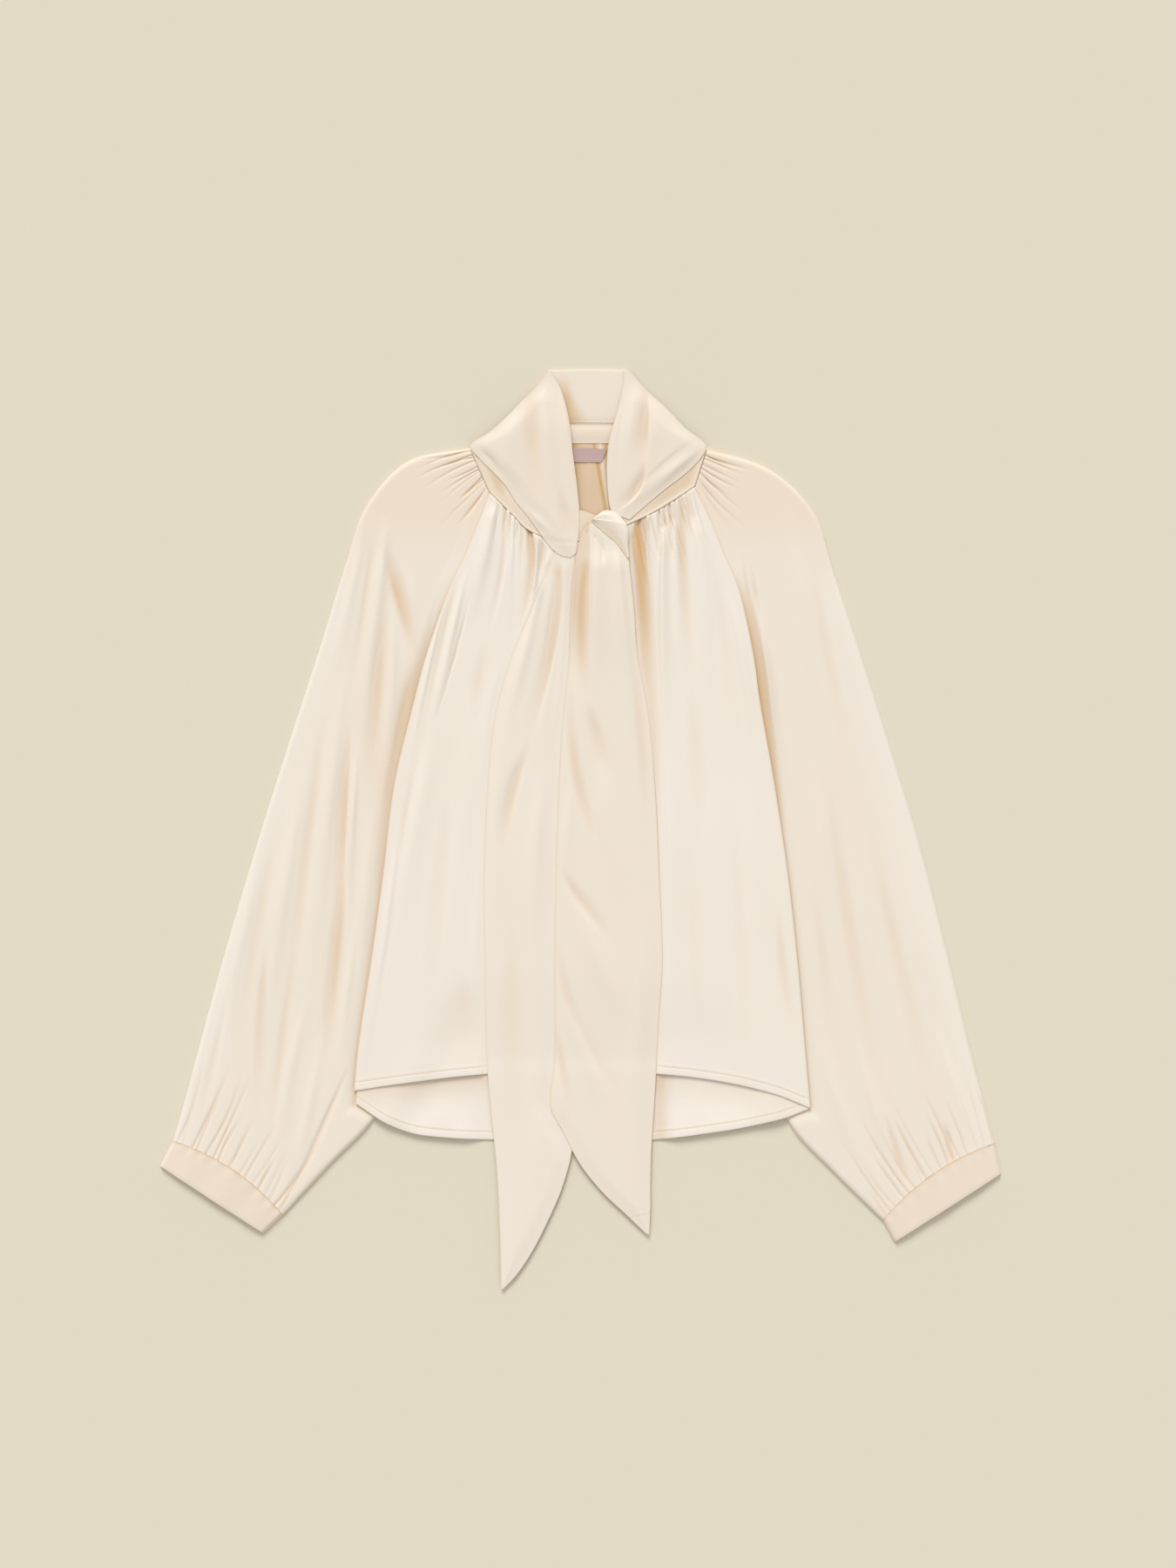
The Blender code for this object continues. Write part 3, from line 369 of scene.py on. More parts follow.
def fold_sum(x, y, table, seam=999):
    """Height of all folds of a table at each point. Those that start above seam rise at once."""
    total = np.zeros_like(x)
    steps = np.linspace(0.0, 1.0, 11)
    for f in table:
        pull_x = 2 * f.mid_x - 0.5 * (f.head_x + f.foot_x)
        pull_y = 2 * f.mid_y - 0.5 * (f.head_y + f.foot_y)
        cx = (1 - steps) ** 2 * f.head_x + 2 * steps * (1 - steps) * pull_x + steps ** 2 * f.foot_x
        cy = (1 - steps) ** 2 * f.head_y + 2 * steps * (1 - steps) * pull_y + steps ** 2 * f.foot_y
        reach = 3.2 * max(f.left, f.right)
        near = ((x > cx.min() - reach) & (x < cx.max() + reach)
                & (y > cy.min() - reach) & (y < cy.max() + reach))
        if not near.any():
            continue
        px, py = x[near], y[near]
        best = np.full_like(px, 1e9)
        along = np.zeros_like(px)
        turn = np.zeros_like(px)
        for i in range(len(steps) - 1):
            ex, ey = cx[i + 1] - cx[i], cy[i + 1] - cy[i]
            part = ((px - cx[i]) * ex + (py - cy[i]) * ey) / (ex * ex + ey * ey)
            part = np.clip(part, 0.0, 1.0)
            gx, gy = px - cx[i] - part * ex, py - cy[i] - part * ey
            gap = np.hypot(gx, gy)
            closer = gap < best
            best = np.where(closer, gap, best)
            along = np.where(closer, steps[i] + part * (steps[i + 1] - steps[i]), along)
            turn = np.where(closer, ex * gy - ey * gx, turn)
        width = np.where(turn > 0, f.right, f.left) * (0.7 + 0.6 * along)
        begin = 0.1 if f.head_y > seam else 0.4
        fade = smooth(along, -0.1, begin) * (1 - smooth(along, 0.35, 1.04))
        total[near] += f.rise * np.exp(-((best / width) ** 2)) * fade
    return total


def fan(edge, count, first, last, longest, width, rise, seed, start=0.0, end=1.0, stray=6):
    """Short gathers that leave an edge, turning from one direction to another (degrees)."""
    chance = np.random.RandomState(seed)
    rows = []
    for k in range(count):
        share = start + (end - start) * (k + 0.5 + chance.uniform(-0.25, 0.25)) / count
        x, y = spline(edge, [share])[0][:2]
        angle = math.radians(first + (last - first) * share + chance.uniform(-stray, stray))
        reach = longest * chance.uniform(0.35, 1.0)
        bend = chance.uniform(-0.06, 0.06) * reach
        dx, dy = math.cos(angle), math.sin(angle)
        size = width * chance.uniform(0.8, 1.25)
        rows.append(Fold(x - dx * 3, y - dy * 3, x + dx * reach / 2 - dy * bend,
                         y + dy * reach / 2 + dx * bend, x + dx * reach, y + dy * reach,
                         size, size * chance.uniform(0.8, 1.25), rise * chance.uniform(0.4, 1.2)))
    return rows


def level_edge(side, y):
    rows = sorted((row.y, getattr(row, side)) for row in BODY)
    return np.interp(y, [r[0] for r in rows], [r[1] for r in rows])


def front_side(side):
    """Rows of a side edge of the front, from the neck to the hem."""
    ends = (NECK_LEFT, HEM_LEFT) if side == "left" else (NECK_RIGHT, HEM_RIGHT)
    return [ends[0]] + [(getattr(r, side), r.y) for r in BODY] + [ends[1]]


def neck_seam(at):
    """The band's seam from the left shoulder round the front to the right one."""
    front = [NECK_LEFT] + NECK_DROP + [NECK_RIGHT]
    rows = np.concatenate([spline(HEAD_LEFT, cells(20)), spline(front, cells(120))[1:],
                           spline(HEAD_RIGHT, cells(20))[1:]])
    run = np.concatenate([[0], np.cumsum(np.hypot(*np.diff(rows, axis=0).T))])
    place = np.asarray(at) * run[-1]
    return np.stack([np.interp(place, run, rows[:, 0]), np.interp(place, run, rows[:, 1])], 1)


def seam_x(side, y):
    """x of the front's side edge at height y, as its panel has it."""
    edge = spline(front_side(side), np.linspace(1.0, 0.0, 241))
    return np.interp(y, edge[:, 1], edge[:, 0])


def outside_body(x, y):
    """How far a point lies outside the body panels; negative inside."""
    hem = np.interp(x, [BACK_LEFT[0]] + [p[0] for p in BACK_HEM] + [BACK_RIGHT[0]],
                    [BACK_LEFT[1]] + [p[1] for p in BACK_HEM] + [BACK_RIGHT[1]])
    left = seam_x("left", y) - x
    right = x - seam_x("right", y)
    return np.maximum(np.maximum(left, right), hem - y)


def inner_line(table, y):
    """x of the hidden inner edge of a sleeve at height y."""
    edge = spline(table, np.linspace(1.0, 0.0, 121))
    return np.interp(y, edge[:, 1], edge[:, 0])


def over_sleeve(x, y):
    """1 where a sleeve lies under the body, 0 in the middle of the body."""
    left = 1 - smooth(x - inner_line(LEFT_SLEEVE, y), 5, 40)
    right = 1 - smooth(inner_line(RIGHT_SLEEVE, y) - x, 5, 40)
    return np.maximum(left, right)


def tie_cover(x, y, near=1.0, far=7.0):
    """1 under the hanging ends and the knot, so that nothing pushes up through them."""
    rows = [(-240, -84, 67), (-222, -86, 69), (-116, -89, 75), (4, -88, 71), (56, -84, 67),
            (100, -80, 62), (129, -75, 58), (155, -66, 53), (180, -55, 51), (202, -46, 49),
            (216, -41, 48), (240, -31, 46), (252, -20, 45), (270, -35, 43), (292, -52, 50)]
    left = np.interp(y, [r[0] for r in rows], [r[1] for r in rows])
    right = np.interp(y, [r[0] for r in rows], [r[2] for r in rows])
    return smooth(x, left - far, left - near) * (1 - smooth(x, right + near, right + far))


def back_under(x, y):
    return BACK_LIFT * over_sleeve(x, y) * (1 - smooth(y, 138, 180))


def front_floor(x, y):
    return FRONT_LOW + BACK_LIFT * over_sleeve(x, y)


def front_calm(x, y):
    """Top of the front with no folds in it."""
    free = 1 - over_sleeve(x, y)
    return (front_floor(x, y) + MID_LIFT * free * smooth(y, -222, -120)
            + NECK_RISE * free * smooth(y, 190, 275))


def tie_ground(x, y):
    """Underside of the hanging ends: on the front, then free over the hems and the floor."""
    free = TIP_LEVEL + (FRONT_LOW + HEM_THICK + LAY - TIP_LEVEL) * (1 - smooth(-y, 222, 420))
    front = front_calm(x, y) + LAY + HEM_THICK * smooth(-y, 205, 222)
    return np.where(y > -222, front, free)


def valley_shade(folds):
    """Share of the painted golden shade in the valleys of the folds."""
    return np.clip(-folds / 6.5, 0, 0.62)


def rim_shade(distance):
    """Painted golden shade at the very edge, where the light goes through one layer."""
    return 0.5 * np.exp(-((np.maximum(distance, 0) / 0.9) ** 2))


def hem_step(distance, band, rise):
    """A turned hem is a little thicker, with a shallow line where it is stitched down."""
    line = np.exp(-(((distance - band + 1.2) / 0.9) ** 2))
    return rise * (1 - smooth(distance, band - 0.4, band + 0.8)) - 0.35 * line


def edge_round(distance, radius, drop):
    """Lowers the last bit before an edge, so that it is not a knife edge."""
    share = np.clip(distance / radius, 0.0, 1.0)
    return -drop * (1 - np.sqrt(1 - (1 - share) ** 2))


class Cloth:
    """A grid of plan points with its heights, from which a closed shell is made."""

    def __init__(self, x, y):
        self.x, self.y = x, y
        self.top = np.zeros_like(x)
        self.painted_shade = np.zeros_like(x)
        self.tone = np.zeros_like(x)
        run_x = np.hypot(np.diff(x, axis=1), np.diff(y, axis=1)).mean(axis=0)
        run_y = np.hypot(np.diff(x, axis=0), np.diff(y, axis=0)).mean(axis=1)
        self.u = np.concatenate([[0], np.cumsum(run_x)])[None, :] * np.ones_like(x)
        self.v = np.concatenate([[0], np.cumsum(run_y)])[:, None] * np.ones_like(x)

    def to_sides(self):
        """Distance along the rows to the nearer of the two side edges."""
        return np.minimum(self.u, self.u.max() - self.u)

    def to_foot(self):
        return self.v.max() - self.v


def rim_wall(cloth):
    """A panel's wall, thinner where its edge is."""
    edge = np.minimum(cloth.to_sides(), cloth.to_foot())
    return 0.5 + (WALL - 0.5) * smooth(edge, 0.5, 5)


def lies_on(x, y, names, free, gap=LAY, reach=2.2):
    """Lowest underside that clears the named pieces, from their points near each of its own."""
    level = free + 0.0 * x
    for name in names:
        lower = LAID[name]
        lower = lower[(lower[:, 0] > x.min() - reach) & (lower[:, 0] < x.max() + reach)
                      & (lower[:, 1] > y.min() - reach) & (lower[:, 1] < y.max() + reach)]
        for row in range(len(x)):
            part = lower[np.abs(lower[:, 1] - y[row].mean()) < np.ptp(y[row]) / 2 + reach]
            if len(part) == 0:
                continue
            far = ((x[row][:, None] - part[:, 0]) ** 2 + (y[row][:, None] - part[:, 1]) ** 2)
            high = np.where(far < reach ** 2, part[:, 2], -9.0).max(axis=1) + gap
            level[row] = np.maximum(level[row], high)
    soft = level
    for _ in range(12):
        soft = np.pad(soft, 1, mode="edge")
        soft = (soft[:-2, 1:-1] + soft[2:, 1:-1] + soft[1:-1, :-2] + soft[1:-1, 2:]) / 4
    return np.maximum(soft, level)


def grid_faces(rows, cols, start=0):
    at = start + np.arange(rows * cols).reshape(rows, cols)
    return np.stack([at[:-1, :-1], at[1:, :-1], at[1:, 1:], at[:-1, 1:]], -1).reshape(-1, 4)


def to_object(name, verts, faces, uvs, data, material):
    """Mesh object at the origin from arrays in millimetres, with smooth faces."""
    used, faces = np.unique(faces, return_inverse=True)
    faces = faces.reshape(-1, 4)
    verts, uvs = verts[used], uvs[used]
    mesh = bpy.data.meshes.new(name)
    place = (verts - np.array([0.0, MIDDLE_Y, 0.0])) * MM
    mesh.vertices.add(len(place))
    mesh.vertices.foreach_set("co", place.astype(np.float32).ravel())
    mesh.loops.add(faces.size)
    mesh.loops.foreach_set("vertex_index", faces.astype(np.int32).ravel())
    mesh.polygons.add(len(faces))
    mesh.polygons.foreach_set("loop_start", np.arange(0, faces.size, 4, dtype=np.int32))
    mesh.polygons.foreach_set("use_smooth", np.ones(len(faces), bool))
    mesh.update(calc_edges=True)
    layer = mesh.uv_layers.new(name="cloth")
    layer.data.foreach_set("uv", (uvs[faces.ravel()] * MM).astype(np.float32).ravel())
    for key, values in data.items():
        field = mesh.attributes.new(key, "FLOAT", "POINT")
        field.data.foreach_set("value", values[used].astype(np.float32))
    mesh.validate()
    mesh.set_sharp_from_angle(angle=math.radians(48))
    mesh.materials.append(material)
    obj = bpy.data.objects.new(name, mesh)
    bpy.context.scene.collection.objects.link(obj)
    return obj


def shell(name, cloth, wall, material, floor=0.0):
    """Closed wall under the cloth's top, joined round its rim."""
    x, y, top = cloth.x, cloth.y, cloth.top
    LAID[name] = np.stack([x, y, top], -1).reshape(-1, 3)
    rows, cols = x.shape
    count = rows * cols
    under = np.maximum(top - wall, floor)
    verts = np.concatenate([np.stack([x, y, top], -1).reshape(-1, 3),
                            np.stack([x, y, under], -1).reshape(-1, 3)])
    faces = grid_faces(rows, cols)
    at = np.arange(count).reshape(rows, cols)
    rim = np.concatenate([at[0, :], at[1:, -1], at[-1, -2::-1], at[-2:0:-1, 0]])
    ahead = np.roll(rim, -1)
    walls = np.stack([rim, ahead, ahead + count, rim + count], -1)
    faces = np.concatenate([faces, faces[:, ::-1] + count, walls])
    mid = (slice(rows // 2, rows // 2 + 2), slice(cols // 2, cols // 2 + 2))
    cx, cy = x[mid], y[mid]
    turn = ((cx[1, 0] - cx[0, 0]) * (cy[0, 1] - cy[0, 0])
            - (cy[1, 0] - cy[0, 0]) * (cx[0, 1] - cx[0, 0]))
    if turn < 0:
        faces = faces[:, ::-1]
    uvs = np.stack([cloth.u, cloth.v], -1).reshape(-1, 2)
    data = {"painted_shade": np.tile(cloth.painted_shade.ravel(), 2), "tone": np.tile(cloth.tone.ravel(), 2)}
    return to_object(name, verts, faces, np.concatenate([uvs, uvs]), data, material)


def with_hem(count, length, band):
    """Rows down a panel, closer together over its hem."""
    near = 1 - np.array([0, 0.6, 1.4, 2.6, 4, 5.4, 6.4, 7.2, 8, 8.8, 10, 12]) * band / 8.5 / length
    return np.unique(np.concatenate([cells(count)[cells(count) < near.min() - 0.3 / count], near]))


def with_head(rows, length, fine):
    """The same rows, but closer together over the first stretch, where cloth is gathered."""
    near = np.concatenate([[0, 0.5, 1.1, 1.8, 2.6, 3.6, 5.0], np.arange(6.8, fine, 2.0)]) / length
    return np.concatenate([near, rows[rows > near[-1] + 1.5 / length]])


def from_head(x, y):
    """Distance of each point from the first row, column by column."""
    return np.hypot(x - x[:1], y - y[:1])


def sew(cloth, distance, wanted):
    """Marks a line of stitches on a cloth, at a distance from its foot, where it is wanted."""
    foot = cloth.to_foot()[:, 0]
    row = int(np.searchsorted(-foot, -distance)) - 1
    share = (foot[row] - distance) / (foot[row] - foot[row + 1])
    line = np.stack([(1 - share) * grid[row] + share * grid[row + 1]
                     for grid in (cloth.x, cloth.y, cloth.top)], 1)
    line[:, 2] += 0.3 * THREAD
    shown = wanted(line[:, 0], line[:, 1])
    for run in np.split(np.arange(len(line)), np.flatnonzero(np.diff(shown.astype(int))) + 1):
        if shown[run[0]] and len(run) > 3:
            SEWN.append(line[run])


def make_front(material):
    across = cells(FRONT_CELLS[0])
    along = with_head(with_hem(FRONT_CELLS[1], 540, HEM_BAND), 540, 66)
    top = [NECK_LEFT] + NECK_DROP + [NECK_RIGHT]
    hem = [HEM_LEFT] + FRONT_HEM + [HEM_RIGHT]
    x, y = patch(front_side("left"), front_side("right"), top, hem, across, along)
    cloth = Cloth(x, y)
    gathers = fan(top, 13, -97, -84, 50, 1.1, -0.8, SEED, 0.0, 0.36, 2)
    gathers += fan(top, 21, -93, -74, 74, 1.1, -0.9, SEED + 1, 0.60, 1.0, 1.5)
    pinched = fold_sum(x, y, gathers, -999)
    pinched = pinched * (0.4 + 0.6 * smooth(from_head(x, y), 1, 5))
    folds = fold_sum(x, y, FRONT_FOLDS, 262) + pinched
    cover = tie_cover(x, y)
    low = front_floor(x, y)
    side = np.minimum(x - seam_x("left", y), seam_x("right", y) - x)
    raised = np.maximum(folds, 0) * (1 - cover) + np.minimum(folds, 0) * (1 - 0.8 * cover)
    foot = cloth.to_foot()
    curl = 0.5 * HEM_LIFT * (1 - smooth(foot, 0, 40)) * smooth(cloth.to_sides(), 10, 60)
    curl = curl * (1 - 0.6 * smooth(x, 60, 110)) * (1 - cover)
    cloth.top = np.maximum(front_calm(x, y) + raised, low) + curl
    cloth.top += hem_step(foot, HEM_BAND, 0.3) + edge_round(foot, 1.0, 0.3)
    sewn = smooth(y, 195, 215)
    cloth.top += edge_round(side, 1.4, 0.5) * (1 - sewn)
    cloth.top -= 0.15 * np.exp(-((side / 0.9) ** 2)) * sewn
    cloth.top -= NECK_DIP * (1 - smooth(from_head(x, y), 0.95, 2.3))
    # Painted shadow of the tie's right end on the front beside it
    beside_tie = np.interp(y, [-20, 40, 120, 250], [0, 6, 15, 20])
    right = np.interp(y, [-222, -116, 4, 56, 100, 155, 216], [69, 75, 71, 67, 62, 53, 48])
    tie_shadow = smooth(y, -20, 110) * (1 - smooth(x - right, 0.3 * beside_tie, beside_tie + 1)) * (x > 30)
    # Painted shade along the hem's stitched line
    seam = np.exp(-(((foot - HEM_BAND + 1.2) / 1.1) ** 2))
    # Painted golden shade in the valleys of folds and gathers and at the side edges
    cloth.painted_shade = (valley_shade(folds) + valley_shade(1.4 * pinched)) * (1 - cover) + rim_shade(side)
    cloth.painted_shade += 0.2 * tie_shadow + 0.16 * seam
    sew(cloth, HEM_BAND - 1.2, lambda px, py: (tie_cover(px, py) < 0.01) & (px > -202) & (px < 206))
    return shell("front_panel", cloth, rim_wall(cloth), material)


def make_back(material):
    across = cells(BACK_CELLS[0])
    along = with_hem(BACK_CELLS[1], 640, HEM_BAND)

    def side(table, name, sign):
        rows = [(float(inner_line(table, y)) + sign * 4.5, y)
                for y in (330, 290, 240, 190, 150, 124)]
        return rows + [(float(level_edge(name, y)) + sign * 1.5, y)
                       for y in (100, 44, -36, -116, -196)]

    neck_l, neck_r = (-76, 352), (96, 352)
    left = [neck_l] + side(LEFT_SLEEVE, "left", 1) + [BACK_LEFT]
    right = [neck_r] + side(RIGHT_SLEEVE, "right", -1) + [BACK_RIGHT]
    top = [neck_l, (-40, BACK_NECK_Y - 1), (10, BACK_NECK_Y), (60, BACK_NECK_Y - 1), neck_r]
    x, y = patch(left, right, top, [BACK_LEFT] + BACK_HEM + [BACK_RIGHT], across, along)
    cloth = Cloth(x, y)
    foot = cloth.to_foot()
    loose = 1 - tie_cover(x, np.maximum(y, -235), 1, 25)
    curl = HEM_LIFT * (1 - smooth(foot, 0, 34)) * smooth(cloth.to_sides(), 6, 45) * loose
    cloth.top = back_under(x, y) + 1.0 + fold_sum(x, y, BACK_FOLDS) + curl
    cloth.top += hem_step(foot, HEM_BAND, 0.3) + edge_round(foot, 1.0, 0.3)
    # Painted light and shade inside the back of the neck: golden shade with darker pleat lines and a
    # darker left side, lighter strips and a lighter right side
    lit = 0.5 * np.exp(-(((x - 20.4 - 0.14 * (338 - y)) / 1.8) ** 2)) + 0.2 * smooth(x, 26, 32)
    # Painted shadow of the front hem on the back below it
    front_hem = np.interp(x, [p[0] for p in FRONT_HEM], [p[1] for p in FRONT_HEM])
    shade = np.clip(1 - (front_hem - y) / 26, 0, 1) ** 1.5 * (y < front_hem + 20)
    # Painted shadow of the tie's right end on the back
    beside_tie = np.exp(-(((x - 73) / 7) ** 2)) * (y < -200)
    dark = np.exp(-(((x - 15.6 - 0.18 * (338 - y)) / 1.2) ** 2))
    dark += np.exp(-(((x - 24.3 - 0.05 * (338 - y)) / 1.0) ** 2)) + 0.6 * smooth(-x, -1, 6)
    cloth.painted_shade = (0.62 - lit + 0.6 * dark) * smooth(y, 150, 300)
    cloth.painted_shade += 0.35 * shade * (1 - 0.6 * smooth(x, 60, 90)) * (y < -200) + 0.3 * beside_tie
    # Painted shade along the hem's stitched line
    cloth.painted_shade += 0.2 * np.exp(-(((foot - HEM_BAND + 1.2) / 1.1) ** 2))
    sew(cloth, HEM_BAND - 1.2, lambda px, py: ((px < -92) | (px > 76)) & (px > -185) & (px < 190))
    return shell("back_panel", cloth, rim_wall(cloth), material)


def make_sleeve(name, table, folds, fans, material):
    """Flattened tube: floor wall, fold at the outer edge, top wall back to the inner edge."""
    n = SLEEVE_CELLS[0]
    down = with_head(cells(SLEEVE_CELLS[1]), 700, 50)
    rows = len(down)
    line = spline(table, down)
    inner, outer, bow = line[:, 0:2].copy(), line[:, 2:4], line[:, 4]
    side = "left" if outer[0, 0] < 0 else "right"
    tuck = TUCK * (1 - smooth(inner[:, 1], 292, 310)) - SEAM
    beside = seam_x(side, inner[:, 1]) + (tuck if side == "left" else -tuck)
    sewn = smooth(inner[:, 1], 160, 205)
    inner[:, 0] = inner[:, 0] * (1 - sewn) + beside * sewn
    chord = outer - inner
    width = np.hypot(chord[:, 0], chord[:, 1])
    normal = np.stack([-chord[:, 1], chord[:, 0]], axis=1) / width[:, None]

    def level(share):
        share = np.broadcast_to(share, (rows,))[:, None]
        return inner * (1 - share) + outer * share + 4 * share * (1 - share) * bow[:, None] * normal

    across = cells(n)
    plan = np.stack([level(s) for s in across], axis=1)
    cloth = Cloth(plan[:, :, 0], plan[:, :, 1])
    x, y = cloth.x, cloth.y
    to_outer = width[:, None] * (1 - across[None, :])
    to_inner = width[:, None] * across[None, :]
    beyond = outside_body(x, y)
    open_part = smooth(beyond, 0.5, 11)
    gathers = fold_sum(x, y, fans, -999)
    height = SLEEVE_SOFT * fold_sum(x, y, folds) + gathers
    seam = (RAGLAN_LEVEL - SLEEVE_HID) * np.exp(-((np.maximum(beyond, 0) / 24) ** 2))
    seam = seam * smooth(y, 165, 235)
    groove = NECK_DIP * (1 - smooth(from_head(x, y), 0.95, 2.3)) 
    lift = 0.7 * np.exp(-((from_head(x, y) / 14) ** 2))
    shown = np.maximum(SLEEVE_OPEN - SLEEVE_HID + lift + height, 0.1)
    top = SLEEVE_HID + np.maximum(open_part * shown, seam + open_part * height)
    closed = smooth(down, UNDERARM - 0.02, UNDERARM + 0.1)[:, None]
    top = np.maximum(top, SLEEVE_HID)
    top = top + (top - 1.6) * edge_round(to_outer, 5.0, 1.0)
    top = top + (top - 1.6) * edge_round(to_inner, 6.0, 1.0) * closed * (beyond > 0)
    cloth.top = top - groove
    # Painted shade on the sleeve beside the body's edge, which lies over it
    wide = np.interp(y, GAP_Y, GAP_WIDE[side])
    body_edge_shade = np.exp(-((np.maximum(beyond, 0) / wide) ** 2)) * np.interp(y, GAP_Y, GAP_SHADE[side])
    # and painted golden shade in the valleys of folds and gathers
    cloth.painted_shade = (valley_shade(height) + valley_shade(1.3 * gathers)) * open_part + body_edge_shade
    cloth.tone = np.maximum(smooth(y, 190, 310), 0.45 * smooth(to_outer, 4, 45))
    open_rows = int(np.searchsorted(down, UNDERARM))
    return tube(name, cloth, level, width, WALL, open_rows, material)


def tube(name, cloth, level, width, wall, open_rows, material):
    """Closed wall round a flattened tube. Above open_rows its inner edge stays open."""
    rows, cols = cloth.x.shape
    top = cloth.top
    across = cells(cols - 1)
    edge = np.where(np.arange(rows) <= open_rows, 0.02, 0.6) / width
    inset = wall / width

    def place(share, z):
        return np.column_stack([level(share), np.broadcast_to(z, (rows,))])

    outside, inside, shares, source = [], [], [], []

    def add(share_out, z_out, share_in, z_in, column):
        outside.append(place(share_out, z_out))
        inside.append(place(share_in, z_in))
        shares.append(np.broadcast_to(share_out, (rows,)))
        source.append(column)

    for j in range(cols):
        share = np.clip(across[j], edge, 1 - edge)
        held = np.clip(across[j], edge + inset, 1 - edge - inset)
        add(share, top[:, j], held, np.maximum(top[:, j] - wall, 0.55 * top[:, j]), j)
    add(1.0, 0.5 * top[:, -1], 1 - inset, 0.5 * top[:, -1], cols - 1)
    for share in np.linspace(1, 0, 25):
        column = int(round(share * (cols - 1)))
        shut = np.clip(share, edge, 1 - edge)
        held = np.clip(share, edge + inset, 1 - edge - inset)
        add(shut, 0.0, held, np.minimum(wall, 0.45 * top[:, column]), column)
    add(0.0, 0.5 * top[:, 0], inset, 0.5 * top[:, 0], 0)
    ring = len(outside)
    verts = np.concatenate([np.stack(outside, 1).reshape(-1, 3),
                            np.stack(inside, 1).reshape(-1, 3)])
    at = np.arange(rows * ring).reshape(rows, ring)
    lower = rows * ring
    ahead = np.roll(at, -1, axis=1)
    quads = np.stack([at[:-1], at[1:], ahead[1:], ahead[:-1]], -1)
    keep = np.ones((rows - 1, ring), bool)
    keep[:open_rows, ring - 2:] = False
    quads = quads[keep]
    ends = []
    for i, turn in ((0, 1), (rows - 1, -1)):
        last = ring - 2 if i == 0 and open_rows > 0 else ring
        a, b = at[i, :last], ahead[i, :last]
        ends.append(np.stack([a, b, b + lower, a + lower], -1)[:, ::turn])
    slit = []
    for i in range(open_rows):
        for j, turn in ((0, 1), (ring - 2, -1)):
            quad = [at[i, j], at[i, j] + lower, at[i + 1, j] + lower, at[i + 1, j]]
            slit.append(quad[::turn])
    if open_rows > 0:
        i = open_rows
        for j in (ring - 2, ring - 1):
            a, b = at[i, j], ahead[i, j]
            slit.append([a, b, b + lower, a + lower])
    parts = [quads, quads[:, ::-1] + lower] + ends
    if slit:
        parts.append(np.array(slit))
    faces = np.concatenate(parts)
    if level(1.0)[rows // 2, 0] < level(0.0)[rows // 2, 0]:
        faces = faces[:, ::-1]
    u = (np.stack(shares, 1) * width[:, None]).reshape(-1)
    v = (cloth.v[:, :1] * np.ones((1, ring))).reshape(-1)
    uvs = np.stack([u, v], -1)
    data = {key: np.tile(getattr(cloth, key)[:, source].ravel(), 2) for key in ("painted_shade", "tone")}
    return to_object(name, verts, faces, np.concatenate([uvs, uvs]), data, material)


def make_cuff(name, table, hem, material):
    last = table[-1]
    seam_in = np.array([last.inner_x, last.inner_y], float)
    seam_out = np.array([last.outer_x, last.outer_y], float)
    edge_out, edge_in = np.array(hem[0], float), np.array(hem[1], float)
    down = (edge_in - seam_in) / np.hypot(*(edge_in - seam_in))
    along = cells(16)[:, None]
    inner = (seam_in + down * SEAM) * (1 - along) + edge_in * along
    outer = (seam_out + down * SEAM) * (1 - along) + edge_out * along
    bow = last.bow * (1 - along[:, 0])
    chord = outer - inner
    width = np.hypot(chord[:, 0], chord[:, 1])
    normal = np.stack([-chord[:, 1], chord[:, 0]], axis=1) / width[:, None]

    def level(share):
        share = np.broadcast_to(share, (len(along),))[:, None]
        return inner * (1 - share) + outer * share + 4 * share * (1 - share) * bow[:, None] * normal

    across = cells(60)
    plan = np.stack([level(s) for s in across], axis=1)
    cloth = Cloth(plan[:, :, 0], plan[:, :, 1])
    s = across[None, :] * np.ones_like(cloth.x)
    t = along * np.ones_like(cloth.x)
    side = np.minimum(s, 1 - s) * width[:, None]
    swell = 1.3 * np.sin(np.pi * s) + 0.5 * np.sin(3 * np.pi * s + 0.4) ** 2
    pull = 0.35 * np.sin(2 * np.pi * 9 * s + 2 * np.sin(7 * s)) * (1 - smooth(t, 0, 0.4))
    foot = (1 - t) * 26
    cloth.top = 3.6 + swell + pull + 0.4 * edge_round(foot, 1.2, 1.0)
    cloth.top += 2.0 * edge_round(side, 4.0, 1.0)
    # Painted shade along the seam where the cuff meets the sleeve
    cloth.painted_shade = 0.4 * np.exp(-((t * 26 / 1.2) ** 2))
    cloth.tone = np.ones_like(s)
    return tube(name, cloth, level, width, BAND_WALL, 0, material)


